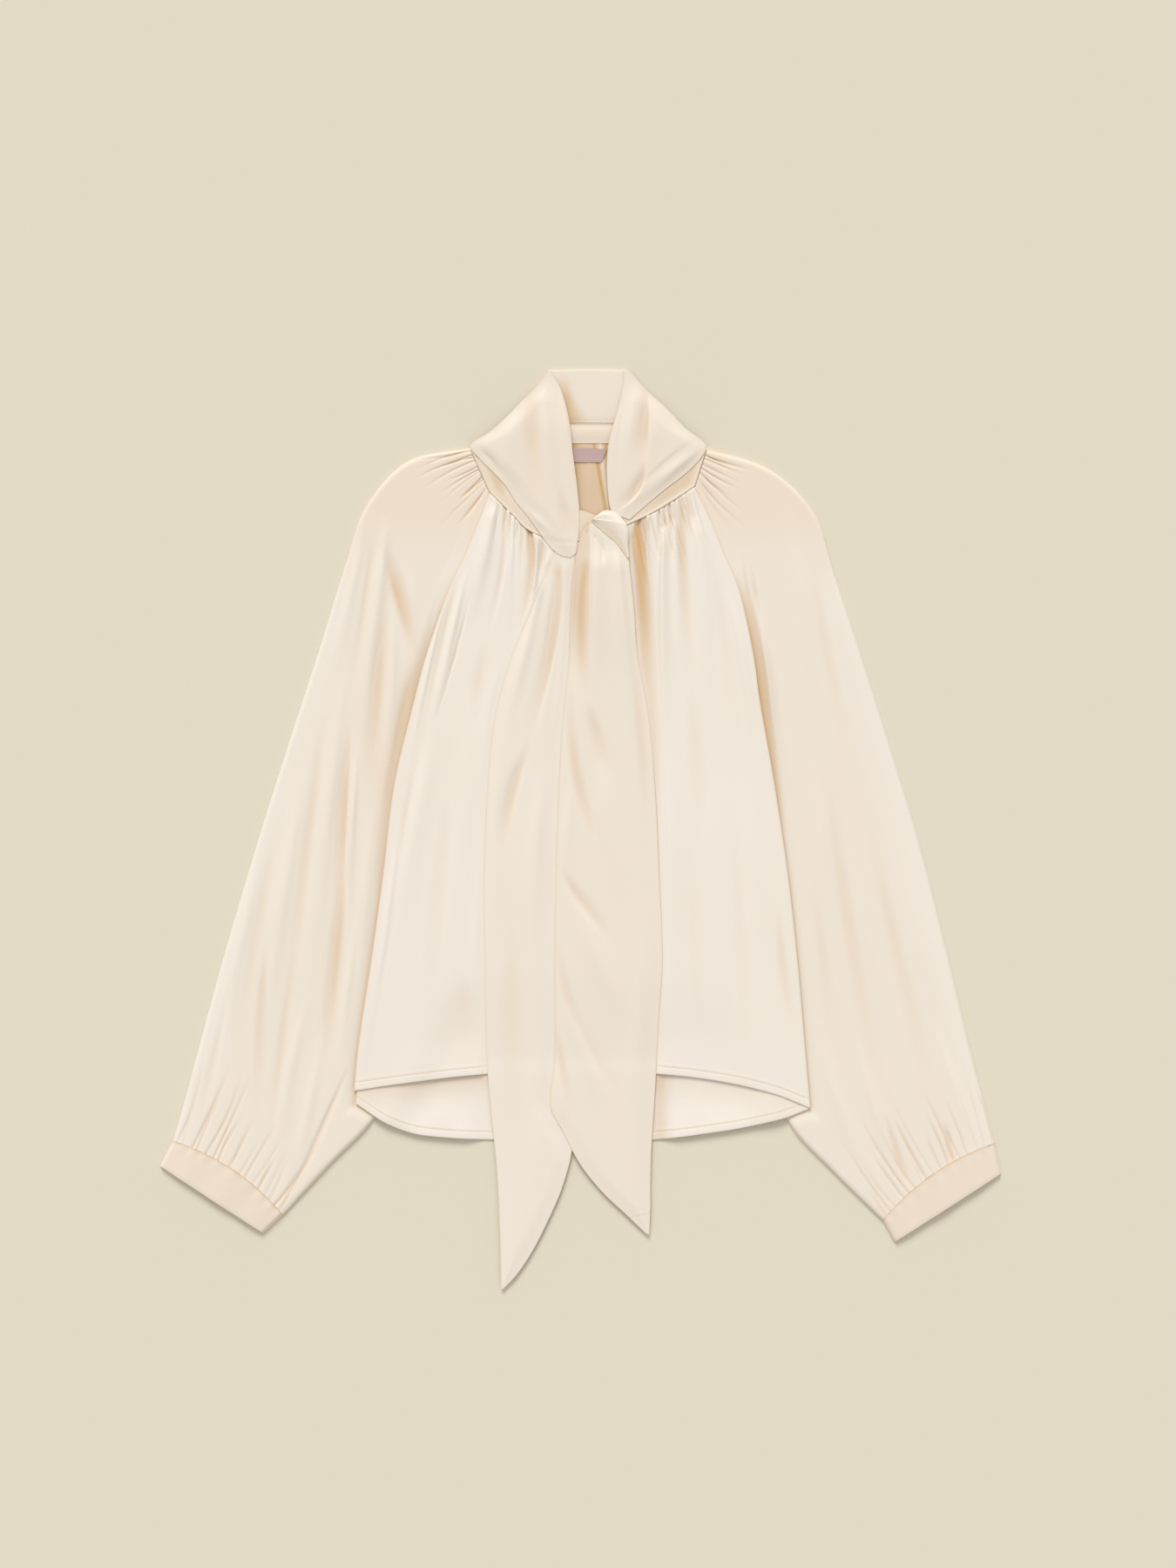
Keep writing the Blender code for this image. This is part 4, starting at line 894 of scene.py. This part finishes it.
def make_neckband(material):
    across = cells(150)
    seam = neck_seam(across)
    run = np.gradient(seam, axis=0)
    side = np.stack([-run[:, 1], run[:, 0]], axis=1)
    for _ in range(30):
        side[1:-1] = (side[:-2] + 2 * side[1:-1] + side[2:]) / 4
    side = side / np.hypot(side[:, 0], side[:, 1])[:, None]
    middle = np.exp(-((across - 0.46) / 0.10) ** 2)
    width = BAND_WIDTH + BAND_MIDDLE * middle
    steps = cells(12)[:, None]
    reach = SEAM * 1.5 + width * steps
    cloth = Cloth(seam[None, :, 0] + side[None, :, 0] * reach,
                  seam[None, :, 1] + side[None, :, 1] * reach)
    cloth.top = BAND_LEVEL - 0.4 + 0.4 * np.sin(np.pi * steps) + 0 * reach
    # Painted shade: faint all along, shadows under the wings' lower edges at both ends, and shade under
    # the knot in the middle
    cloth.painted_shade = 0.04 + 0.34 * smooth(cloth.x, 50, 80) * smooth(reach, 2, 7)
    cloth.painted_shade += 0.4 * (1 - smooth(cloth.x, -76, -66)) * smooth(reach, 3, 9)
    cloth.painted_shade += 0.16 * np.exp(-(((cloth.x - 10) / 14) ** 2))
    front = shell("neckband_front_cloth", cloth, BAND_WALL, material)

    seam = [(px, py - SEAM) for px, py in STAND_SEAM]
    low = [(-66, 356), (10, 357.2), (84, 356)]
    x, y = patch([seam[0], low[0]], [seam[-1], low[-1]], seam, low, cells(60), cells(14))
    cloth = Cloth(x, y)
    t = cells(14)[:, None]
    cloth.top = 1.25 + 0.8 * smooth(t, 0.1, 0.45) - 0.45 * smooth(t, 0.6, 1.0) + 0 * x
    # Painted shade along the seam under the stand
    cloth.painted_shade = 0.2 * np.exp(-(((20 * t - 1.4) / 1.2) ** 2)) + 0 * x
    wall = 1.0 - 0.6 * smooth(t, 0.75, 0.88) + 0 * x
    sew(cloth, 17.0, lambda px, py: (px > -18) & (px < 30))
    back = shell("neckband_back_cloth", cloth, wall, material)
    return front, back


def strip(out_edge, in_edge, size):
    s = cells(size[0])[None, :, None]
    a = spline(out_edge, cells(size[1]))[:, None, :]
    b = spline(in_edge, cells(size[1]))[:, None, :]
    grid = a * (1 - s) + b * s
    return Cloth(grid[:, :, 0], grid[:, :, 1])


def side_distance(cloth):
    """Distance to the nearer long edge, row by row."""
    x, y = cloth.x, cloth.y
    first = np.hypot(x - x[:, :1], y - y[:, :1])
    last = np.hypot(x - x[:, -1:], y - y[:, -1:])
    return np.minimum(first, last)


def tie_loft(cloth):
    """0 at the long edges, which lie down, and 1 where the tie stands free."""
    return smooth(side_distance(cloth), -1, 15)


def tie_wall(cloth):
    """The two layers of the tie meet in a thin rolled edge."""
    return RIM + (TIE_WALL - RIM) * smooth(side_distance(cloth), 1, 9)


def make_left_end(material):
    cloth = strip(LEFT_END_OUT, LEFT_END_IN, END_CELLS)
    x, y = cloth.x, cloth.y
    cover = np.interp(-y, [-p[1] for p in RIGHT_END_OUT], [p[0] for p in RIGHT_END_OUT])
    free = 1 - smooth(x, cover - 22, cover - 1.5)
    free = np.where(y < -300, 1.0, free) * (1 - smooth(y, 236, 254))
    folds = fold_sum(x, y, LEFT_END_FOLDS, 225)
    loose = TIE_BODY * tie_loft(cloth)
    cloth.top = tie_ground(x, y) + RIM + np.maximum(loose + folds, 0) * free
    # Painted golden shade in the valleys of the folds and at the edges
    cloth.painted_shade = valley_shade(folds) * free + 0.5 * rim_shade(side_distance(cloth))
    cloth.tone = 0.25 + 0 * x
    return shell("tie_left_end_cloth", cloth, tie_wall(cloth), material)


def make_right_end(material):
    cloth = strip(RIGHT_END_OUT, RIGHT_END_IN, END_CELLS)
    x, y = cloth.x, cloth.y
    on_left = (1 - smooth(x, 0, 22)) * (1 - smooth(-y, 322, 350))
    stack = (RIM + LAY) * np.maximum(on_left, smooth(y, 236, 262))
    calm = 1 - smooth(y, 240, 264)
    upper = smooth(y, 140, 215)
    folds = fold_sum(x, y, RIGHT_END_FOLDS, 225)
    folds += 1.8 * smooth(x, KNOT_CREASE - 0.6, KNOT_CREASE + 2.4) * upper
    loose = TIE_BODY * tie_loft(cloth)
    cloth.top = (tie_ground(x, y) + stack + RIM
                 + np.maximum((loose + folds) * (0.25 + 0.75 * calm), 0))
    # Painted shade in the valleys, at the edges, on the folded-under strip left of the crease and at the
    # pinches
    cloth.painted_shade = valley_shade(folds) + 0.5 * rim_shade(side_distance(cloth))
    cloth.painted_shade += 0.3 * (1 - smooth(x, KNOT_CREASE - 1.2, KNOT_CREASE)) * upper
    for px, py in KNOT_PINCH:
        cloth.painted_shade += 0.7 * np.exp(-((x - px) ** 2 + (y - py) ** 2) / 2.2)
    cloth.tone = 0.45 + 0 * x
    corner = np.argmin(np.abs(y[:, 35] + 350))
    SEWN.append(np.stack([x[corner, 4:-4], y[corner, 4:-4],
                          cloth.top[corner, 4:-4] + 0.3 * THREAD], 1))
    return shell("tie_right_end_cloth", cloth, tie_wall(cloth), material)


def make_wing(name, out_edge, in_edge, folds, end_y, material):
    """One side of the tie from the back of the neck to the knot."""
    cloth = strip(out_edge, in_edge, WING_CELLS)
    x, y = cloth.x, cloth.y
    base = WING_FOLD + (WING_BASE - WING_FOLD) * smooth(424 - y, 0, 60)
    under = ("front_panel", "neckband_front_cloth", "neck_piping", "tie_back_cloth",
             "tie_left_end_cloth")
    base = lies_on(x, y, under, base)
    height = fold_sum(x, y, folds)
    loft = 2.2 * smooth(side_distance(cloth), -1, 22) * (0.4 + 0.6 * smooth(y, end_y, end_y + 25))
    cloth.top = base + RIM + np.maximum(loft + height, 0) * smooth(424 - y, 4, 30)
    # Painted golden shade in the valleys of the folds and at the edges
    cloth.painted_shade = 0.7 * valley_shade(height) + 0.5 * rim_shade(side_distance(cloth))
    cloth.tone = 0.7 + 0 * x
    return shell(name, cloth, tie_wall(cloth), material)


def make_knot(material):
    cloth = strip(KNOT_OUT, KNOT_IN, (40, 40))
    share = cells(40)[None, :]
    t = cells(40)[:, None]
    swell = smooth(share, -0.1, 0.3) * (1 - smooth(share, 0.35, 1.0))
    base = lies_on(cloth.x, cloth.y, ("tie_right_end_cloth", "tie_right_wing_cloth",
                                      "neck_piping"), 6.0)
    cloth.top = base + RIM + KNOT_RISE * swell * (1 - 0.6 * smooth(t, 0.6, 1.0))
    cloth.tone = 0.4 + 0 * cloth.x
    # Painted shade towards the knot's inner edge, along its crease
    cloth.painted_shade = 0.32 * smooth(share, 0.5, 0.95) + 0 * cloth.x
    wall = np.clip(cloth.top - base, RIM, TIE_WALL)
    return shell("tie_knot_cloth", cloth, wall, material)


def join(obj, other):
    """Adds another object's mesh to a piece and returns the piece."""
    with bpy.context.temp_override(active_object=obj, selected_editable_objects=[obj, other]):
        bpy.ops.object.join()
    return obj


def cord(name, line, thick, material, sides=10):
    """Flat cord along rows of x, y and z, closed at its ends, as a mesh of quads."""
    run = np.gradient(line, axis=0)
    run = run / np.linalg.norm(run, axis=1)[:, None]
    flat = np.stack([-run[:, 1], run[:, 0], 0 * run[:, 0]], axis=1)
    flat = flat / np.linalg.norm(flat, axis=1)[:, None]
    up = np.cross(run, flat)
    turn = np.linspace(0, 2 * np.pi, sides, endpoint=False)
    size = np.full(len(line), thick / 2)
    size[[0, -1]] = 0.02
    ring = (flat[:, None, :] * np.cos(turn)[None, :, None]
            + 0.5 * up[:, None, :] * np.sin(turn)[None, :, None]) * size[:, None, None]
    crest = line + [0, 0, thick / 4]
    LAID[name] = crest
    verts = (line[:, None, :] + ring).reshape(-1, 3)
    at = np.arange(len(line) * sides).reshape(len(line), sides)
    ahead = np.roll(at, -1, axis=1)
    faces = np.stack([at[:-1], at[1:], ahead[1:], ahead[:-1]], -1).reshape(-1, 4)
    uvs = np.stack([np.tile(turn, len(line)) * thick / 2,
                    np.repeat(np.arange(len(line)) * 1.0, sides)], -1)
    # An even touch of the golden shade colour all over the cord
    data = {"painted_shade": np.full(len(verts), 0.1), "tone": np.full(len(verts), 0.6)}
    return to_object(name, verts, faces[:, ::-1], uvs, data, material)


def make_piping(material):
    """Corded edge that covers the neck seam in front."""
    line = neck_seam(cells(220))
    run = np.gradient(line, axis=0)
    side = np.stack([-run[:, 1], run[:, 0]], axis=1)
    line = line + side / np.hypot(side[:, 0], side[:, 1])[:, None] * 0.15
    level = np.full(len(line), PIPING_LEVEL)
    return cord("neck_piping", np.column_stack([line[:, :2], level]), PIPING, material)


def make_stand(material):
    """The tie behind the neck, its inner face up."""
    top = [(-29, 424), (10, 425), (43, 424)]
    foot = [(px, py - TUCK / 2) for px, py in STAND_SEAM]
    x, y = patch([top[0], (-46, 402), foot[0]], [top[-1], (58, 402), foot[-1]],
                 top, foot, cells(90), cells(60))
    cloth = Cloth(x, y)
    side = np.minimum(cloth.v, cloth.to_foot())
    cloth.top = 2.2 + 0.25 * np.sin(x / 17) * np.sin(np.pi * (y - 376) / 48)
    cloth.top = cloth.top + 0.3 * edge_round(side, 1.2, 1.0)
    cloth.top = 1.8 + (cloth.top - 1.8) * smooth(cloth.to_foot(), 0, 7)
    cloth.tone = 0.6 + 0 * x
    # Painted shadow of the left wing on the stand
    shade = 1 - smooth(x, -16 + 0.1 * (424 - y), -8 + 0.45 * (424 - y) * smooth(424 - y, 0, 50))
    cloth.painted_shade = 0.7 * shade * smooth(424 - y, 0, 30)
    wall = 0.4 + TIE_WALL * smooth(cloth.to_foot(), 1.6, 4)
    return shell("tie_back_cloth", cloth, wall, material)


def make_label(material):
    x, y = patch([(-20, 354), (-20, 340)], [(24, 351.5), (19.5, 340)],
                 [(-20, 354), (24, 351.5)], [(-20, 340), (19.5, 340)], cells(44), cells(14))
    cloth = Cloth(x, y)
    cloth.top = 1.0 + 0.95 + 0.12 * np.sin(x / 6.0)
    return shell("label_cloth", cloth, 0.5, material)


def stitch_tree():
    """Lays one small spindle of thread after another along each line."""
    tree = bpy.data.node_groups.new("stitches", "GeometryNodeTree")
    face = tree.interface
    face.new_socket("Lines", in_out="INPUT", socket_type="NodeSocketGeometry")
    for name, kind in (("Spacing", "Float"), ("Length", "Float"), ("Thickness", "Float"),
                       ("Seed", "Int"), ("Thread", "Material")):
        face.new_socket(name, in_out="INPUT", socket_type="NodeSocket" + kind)
    face.new_socket("Stitches", in_out="OUTPUT", socket_type="NodeSocketGeometry")
    given = add(tree, "NodeGroupInput").outputs
    curve = add(tree, "GeometryNodeMeshToCurve", {0: given["Lines"]})
    even = add(tree, "GeometryNodeResampleCurve", {"Curve": curve.outputs[0],
                                                   "Length": given["Spacing"]}, mode="LENGTH")
    ball = add(tree, "GeometryNodeMeshUVSphere", {"Segments": 6, "Rings": 4, "Radius": 0.5})
    size = add(tree, "ShaderNodeCombineXYZ", {0: given["Length"], 1: given["Thickness"],
                                              2: given["Thickness"]})
    spindle = add(tree, "GeometryNodeTransform", {"Geometry": ball.outputs["Mesh"],
                                                  "Scale": size.outputs[0]})
    along = add(tree, "GeometryNodeInputTangent")
    turn = add(tree, "FunctionNodeAlignRotationToVector", {"Vector": along.outputs[0]}, axis="X")
    uneven = add(tree, "FunctionNodeRandomValue", {2: 0.85, 3: 1.1, "Seed": given["Seed"]},
                 data_type="FLOAT")
    laid = add(tree, "GeometryNodeInstanceOnPoints",
               {"Points": even.outputs[0], "Instance": spindle.outputs[0],
                "Rotation": turn.outputs[0], "Scale": uneven.outputs[1]})
    real = add(tree, "GeometryNodeRealizeInstances", {0: laid.outputs[0]})
    painted = add(tree, "GeometryNodeSetMaterial", {"Geometry": real.outputs[0],
                                                    "Material": given["Thread"]})
    add(tree, "NodeGroupOutput", {0: painted.outputs[0]})
    return tree


def make_stitches(material):
    """All lines of stitches as one mesh."""
    edges, start = [], 0
    for line in SEWN:
        edges += [(start + k, start + k + 1) for k in range(len(line) - 1)]
        start += len(line)
    place = (np.concatenate(SEWN) - [0.0, MIDDLE_Y, 0.0]) * MM
    path = bpy.data.meshes.new("stitch_lines")
    path.from_pydata(place.tolist(), edges, [])
    lines = bpy.data.objects.new("stitch_lines", path)
    bpy.context.scene.collection.objects.link(lines)
    tree = stitch_tree()
    sewn = lines.modifiers.new("stitches", "NODES")
    sewn.node_group = tree
    values = {"Spacing": STITCH * MM, "Length": STITCH_LONG * MM, "Thickness": THREAD * MM,
              "Seed": SEED, "Thread": material}
    for socket in tree.interface.items_tree:
        if socket.name in values:
            sewn[socket.identifier] = values[socket.name]
    seen = lines.evaluated_get(bpy.context.evaluated_depsgraph_get())
    mesh = bpy.data.meshes.new_from_object(seen)
    bpy.data.objects.remove(lines)
    obj = bpy.data.objects.new("hem_stitches", mesh)
    bpy.context.scene.collection.objects.link(obj)
    return obj


def linear(hexa):
    """An sRGB hex colour as linear values."""
    parts = [int(hexa[i:i + 2], 16) / 255 for i in (1, 3, 5)]
    return tuple(c / 12.92 if c <= 0.04045 else ((c + 0.055) / 1.055) ** 2.4 for c in parts) + (1.0,)


def new_material(name):
    material = bpy.data.materials.new(name)
    material.use_nodes = True
    material.node_tree.nodes.clear()
    return material, material.node_tree


def add(tree, kind, inputs=(), **settings):
    """Adds a node. inputs maps a socket's name or number to a value or another socket."""
    node = tree.nodes.new(kind)
    for key, value in settings.items():
        setattr(node, key, value)
    for key, value in dict(inputs).items():
        if isinstance(value, bpy.types.NodeSocket):
            tree.links.new(value, node.inputs[key])
        else:
            node.inputs[key].default_value = value
    return node


def crepe_satin(name, light, peach, painted_shade, bumps):
    """Polyester crepe, woven with hard-twisted weft: soft low gloss, a fine pebbled grain and
    faint streaks along the warp; a painted golden shade is mixed into its colour by the piece's
    attribute, standing in for light through a single layer and for shade in valleys, gaps and at edges."""
    material, tree = new_material(name)
    uv = add(tree, "ShaderNodeUVMap", uv_map="cloth")
    place = add(tree, "ShaderNodeTexCoord").outputs["Object"]
    streaks = add(tree, "ShaderNodeMapping", {"Vector": uv.outputs["UV"], "Scale": (420, 9, 1)})
    streak = add(tree, "ShaderNodeTexNoise", {"Vector": streaks.outputs[0], "Scale": 1.0,
                                              "Detail": 2.0})
    # The twisted weft is about 0.3 mm; its grain is drawn three times as coarse to show at all
    grain = add(tree, "ShaderNodeTexNoise", {"Vector": uv.outputs["UV"], "Scale": 1 / (0.9 * MM),
                                             "Detail": 2.0, "Roughness": 0.6})
    cloud = add(tree, "ShaderNodeTexNoise", {"Vector": place, "Scale": 7.0, "Detail": 2.0})
    tone = add(tree, "ShaderNodeAttribute", attribute_name="tone").outputs["Fac"]
    # share of the painted golden shade, read from the piece's own attribute
    shade_share = add(tree, "ShaderNodeAttribute", attribute_name="painted_shade").outputs["Fac"]
    body = add(tree, "ShaderNodeMix", {"Factor": tone, 6: linear(light), 7: linear(peach)},
               data_type="RGBA")
    with_painted_shade = add(tree, "ShaderNodeMix", {"Factor": shade_share, 6: body.outputs[2],
                                         7: linear(painted_shade)}, data_type="RGBA")
    uneven = add(tree, "ShaderNodeMapRange", {"Value": cloud.outputs["Fac"], 1: 0.35, 2: 0.65,
                                              3: 0.0, 4: 0.16})
    colour = add(tree, "ShaderNodeMix", {"Factor": uneven.outputs[0], 6: with_painted_shade.outputs[2],
                                         7: linear(peach)}, data_type="RGBA")
    both = add(tree, "ShaderNodeMath", {0: streak.outputs["Fac"], 1: grain.outputs["Fac"]},
               operation="ADD")
    bump = add(tree, "ShaderNodeBump", {"Strength": bumps, "Distance": 0.12 * MM,
                                        "Height": both.outputs[0]})
    shader = add(tree, "ShaderNodeBsdfPrincipled",
                 {"Base Color": colour.outputs[2], "Roughness": 0.62, "IOR": 1.45,
                  "Sheen Weight": 0.12, "Sheen Roughness": 0.4,
                  "Normal": bump.outputs[0]})
    add(tree, "ShaderNodeOutputMaterial", {"Surface": shader.outputs[0]})
    return material


def woven_label():
    """Damask-woven polyester ribbon: fine cross ribs and a slightly silky face."""
    material, tree = new_material("woven_polyester_label")
    place = add(tree, "ShaderNodeTexCoord").outputs["Object"]
    rib = add(tree, "ShaderNodeTexWave", {"Vector": place, "Scale": 160.0, "Distortion": 0.4},
              bands_direction="Y")
    colour = add(tree, "ShaderNodeMix", {"Factor": rib.outputs["Fac"], 6: linear(LABEL_PINK),
                                         7: linear("#BDA29E")}, data_type="RGBA")
    bump = add(tree, "ShaderNodeBump", {"Strength": 0.3, "Distance": 0.1 * MM,
                                        "Height": rib.outputs["Fac"]})
    shader = add(tree, "ShaderNodeBsdfPrincipled",
                 {"Base Color": colour.outputs[2], "Roughness": 0.5, "Normal": bump.outputs[0]})
    add(tree, "ShaderNodeOutputMaterial", {"Surface": shader.outputs[0]})
    return material


def sewing_thread():
    """Spun polyester thread, matt, a shade deeper than the cloth so that it reads."""
    material, tree = new_material("spun_polyester_thread")
    place = add(tree, "ShaderNodeTexCoord").outputs["Object"]
    twist = add(tree, "ShaderNodeTexNoise", {"Vector": place, "Scale": 900.0})
    colour = add(tree, "ShaderNodeMix", {"Factor": twist.outputs["Fac"],
                                         6: linear(THREAD_CREAM), 7: linear("#D8C6AE")},
                 data_type="RGBA")
    shader = add(tree, "ShaderNodeBsdfPrincipled",
                 {"Base Color": colour.outputs[2], "Roughness": 0.8})
    add(tree, "ShaderNodeOutputMaterial", {"Surface": shader.outputs[0]})
    return material


def studio():
    """Pale floor, one soft lamp from above the collar, even light around, camera overhead."""
    mesh = bpy.data.meshes.new("floor")
    half = 6.0
    mesh.from_pydata([(-half, -half, 0), (half, -half, 0), (half, half, 0), (-half, half, 0)],
                     [], [(0, 1, 2, 3)])
    floor = bpy.data.objects.new("floor", mesh)
    floor.location.z = -0.0002
    bpy.context.scene.collection.objects.link(floor)
    material, tree = new_material("matt_paper_floor")
    shader = add(tree, "ShaderNodeBsdfPrincipled",
                 {"Base Color": linear(FLOOR), "Roughness": 1.0, "Specular IOR Level": 0.0})
    add(tree, "ShaderNodeOutputMaterial", {"Surface": shader.outputs[0]})
    mesh.materials.append(material)

    lamp = bpy.data.lights.new("window", "SUN")
    lamp.energy = 2.2
    lamp.angle = math.radians(26)
    lamp.color = (1.0, 1.0, 1.0)
    sun = bpy.data.objects.new("window", lamp)
    sun.rotation_euler = (math.radians(-57), math.radians(-14), 0)
    bpy.context.scene.collection.objects.link(sun)

    world = bpy.data.worlds.new("room")
    bpy.context.scene.world = world
    world.use_nodes = True
    sky = world.node_tree.nodes["Background"]
    sky.inputs["Color"].default_value = (1.0, 0.975, 0.93, 1)
    sky.inputs["Strength"].default_value = 0.64

    view = bpy.data.cameras.new("overhead")
    view.lens = 85
    view.sensor_width = 36
    camera = bpy.data.objects.new("overhead", view)
    frame_height = 1.44
    camera.location = (0.0068, 0.0444 - MIDDLE_Y * MM, frame_height * view.lens / view.sensor_width)
    bpy.context.scene.collection.objects.link(camera)
    bpy.context.scene.camera = camera
    bpy.context.scene.view_settings.view_transform = "Standard"


def main():
    cloth = crepe_satin("polyester_crepe_woven", CREAM, PEACH, PAINTED_SHADE_GOLD, 0.35)
    tie = crepe_satin("polyester_crepe_tie", TIE_CREAM, PEACH, PAINTED_SHADE_GOLD, 0.35)
    band = crepe_satin("polyester_crepe_band", BAND_CREAM, PEACH, PAINTED_SHADE_GOLD, 0.4)
    label = woven_label()

    head_l = [(-101, 354), (-92, 334), (-84.5, 313)]
    head_r = [(116, 354), (110, 336), (105.5, 318)]
    wrist_l = [(-374, -283), (-326, -308), (-273, -351)]
    wrist_r = [(380, -285), (326, -308), (277, -356)]
    left_fan = fan(head_l, 13, 190, 238, 66, 1.0, -0.8, SEED + 2)
    left_fan += fan(wrist_l, 17, 70, 60, 90, 1.2, -0.9, SEED + 3)
    right_fan = fan(head_r, 14, -8, -58, 74, 1.0, -0.8, SEED + 4)
    right_fan += fan(wrist_r, 17, 108, 122, 90, 1.2, -0.9, SEED + 5)

    def piece(obj, node):
        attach(obj, "root")
        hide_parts(node)

    piece(make_back(cloth), "back")
    piece(make_front(cloth), "front")
    piece(make_sleeve("sleeve_left_cloth", LEFT_SLEEVE, LEFT_SLEEVE_FOLDS, left_fan, cloth),
          "sleeve_left")
    piece(make_sleeve("sleeve_right_cloth", RIGHT_SLEEVE, RIGHT_SLEEVE_FOLDS, right_fan, cloth),
          "sleeve_right")
    piece(make_cuff("cuff_left_cloth", LEFT_SLEEVE, LEFT_CUFF, band), "cuff_left")
    piece(make_cuff("cuff_right_cloth", RIGHT_SLEEVE, RIGHT_CUFF, band), "cuff_right")
    front_band, back_band = make_neckband(band)
    front_band = join(front_band, make_piping(band))
    piece(front_band, "neckband_front")
    piece(back_band, "neckband_back")
    piece(make_stand(tie), "tie_back")
    piece(make_left_end(tie), "tie_left_end")
    piece(make_wing("tie_left_wing_cloth", LEFT_WING_OUT, LEFT_WING_IN, LEFT_WING_FOLDS, 252,
                    tie), "tie_left_wing")
    piece(make_wing("tie_right_wing_cloth", RIGHT_WING_OUT, RIGHT_WING_IN, RIGHT_WING_FOLDS,
                    287, tie), "tie_right_wing")
    piece(make_right_end(tie), "tie_right_end")
    piece(make_knot(tie), "tie_knot")
    piece(make_label(label), "label")

    stitches = make_stitches(sewing_thread())
    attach(stitches, "root")
    studio()


main()
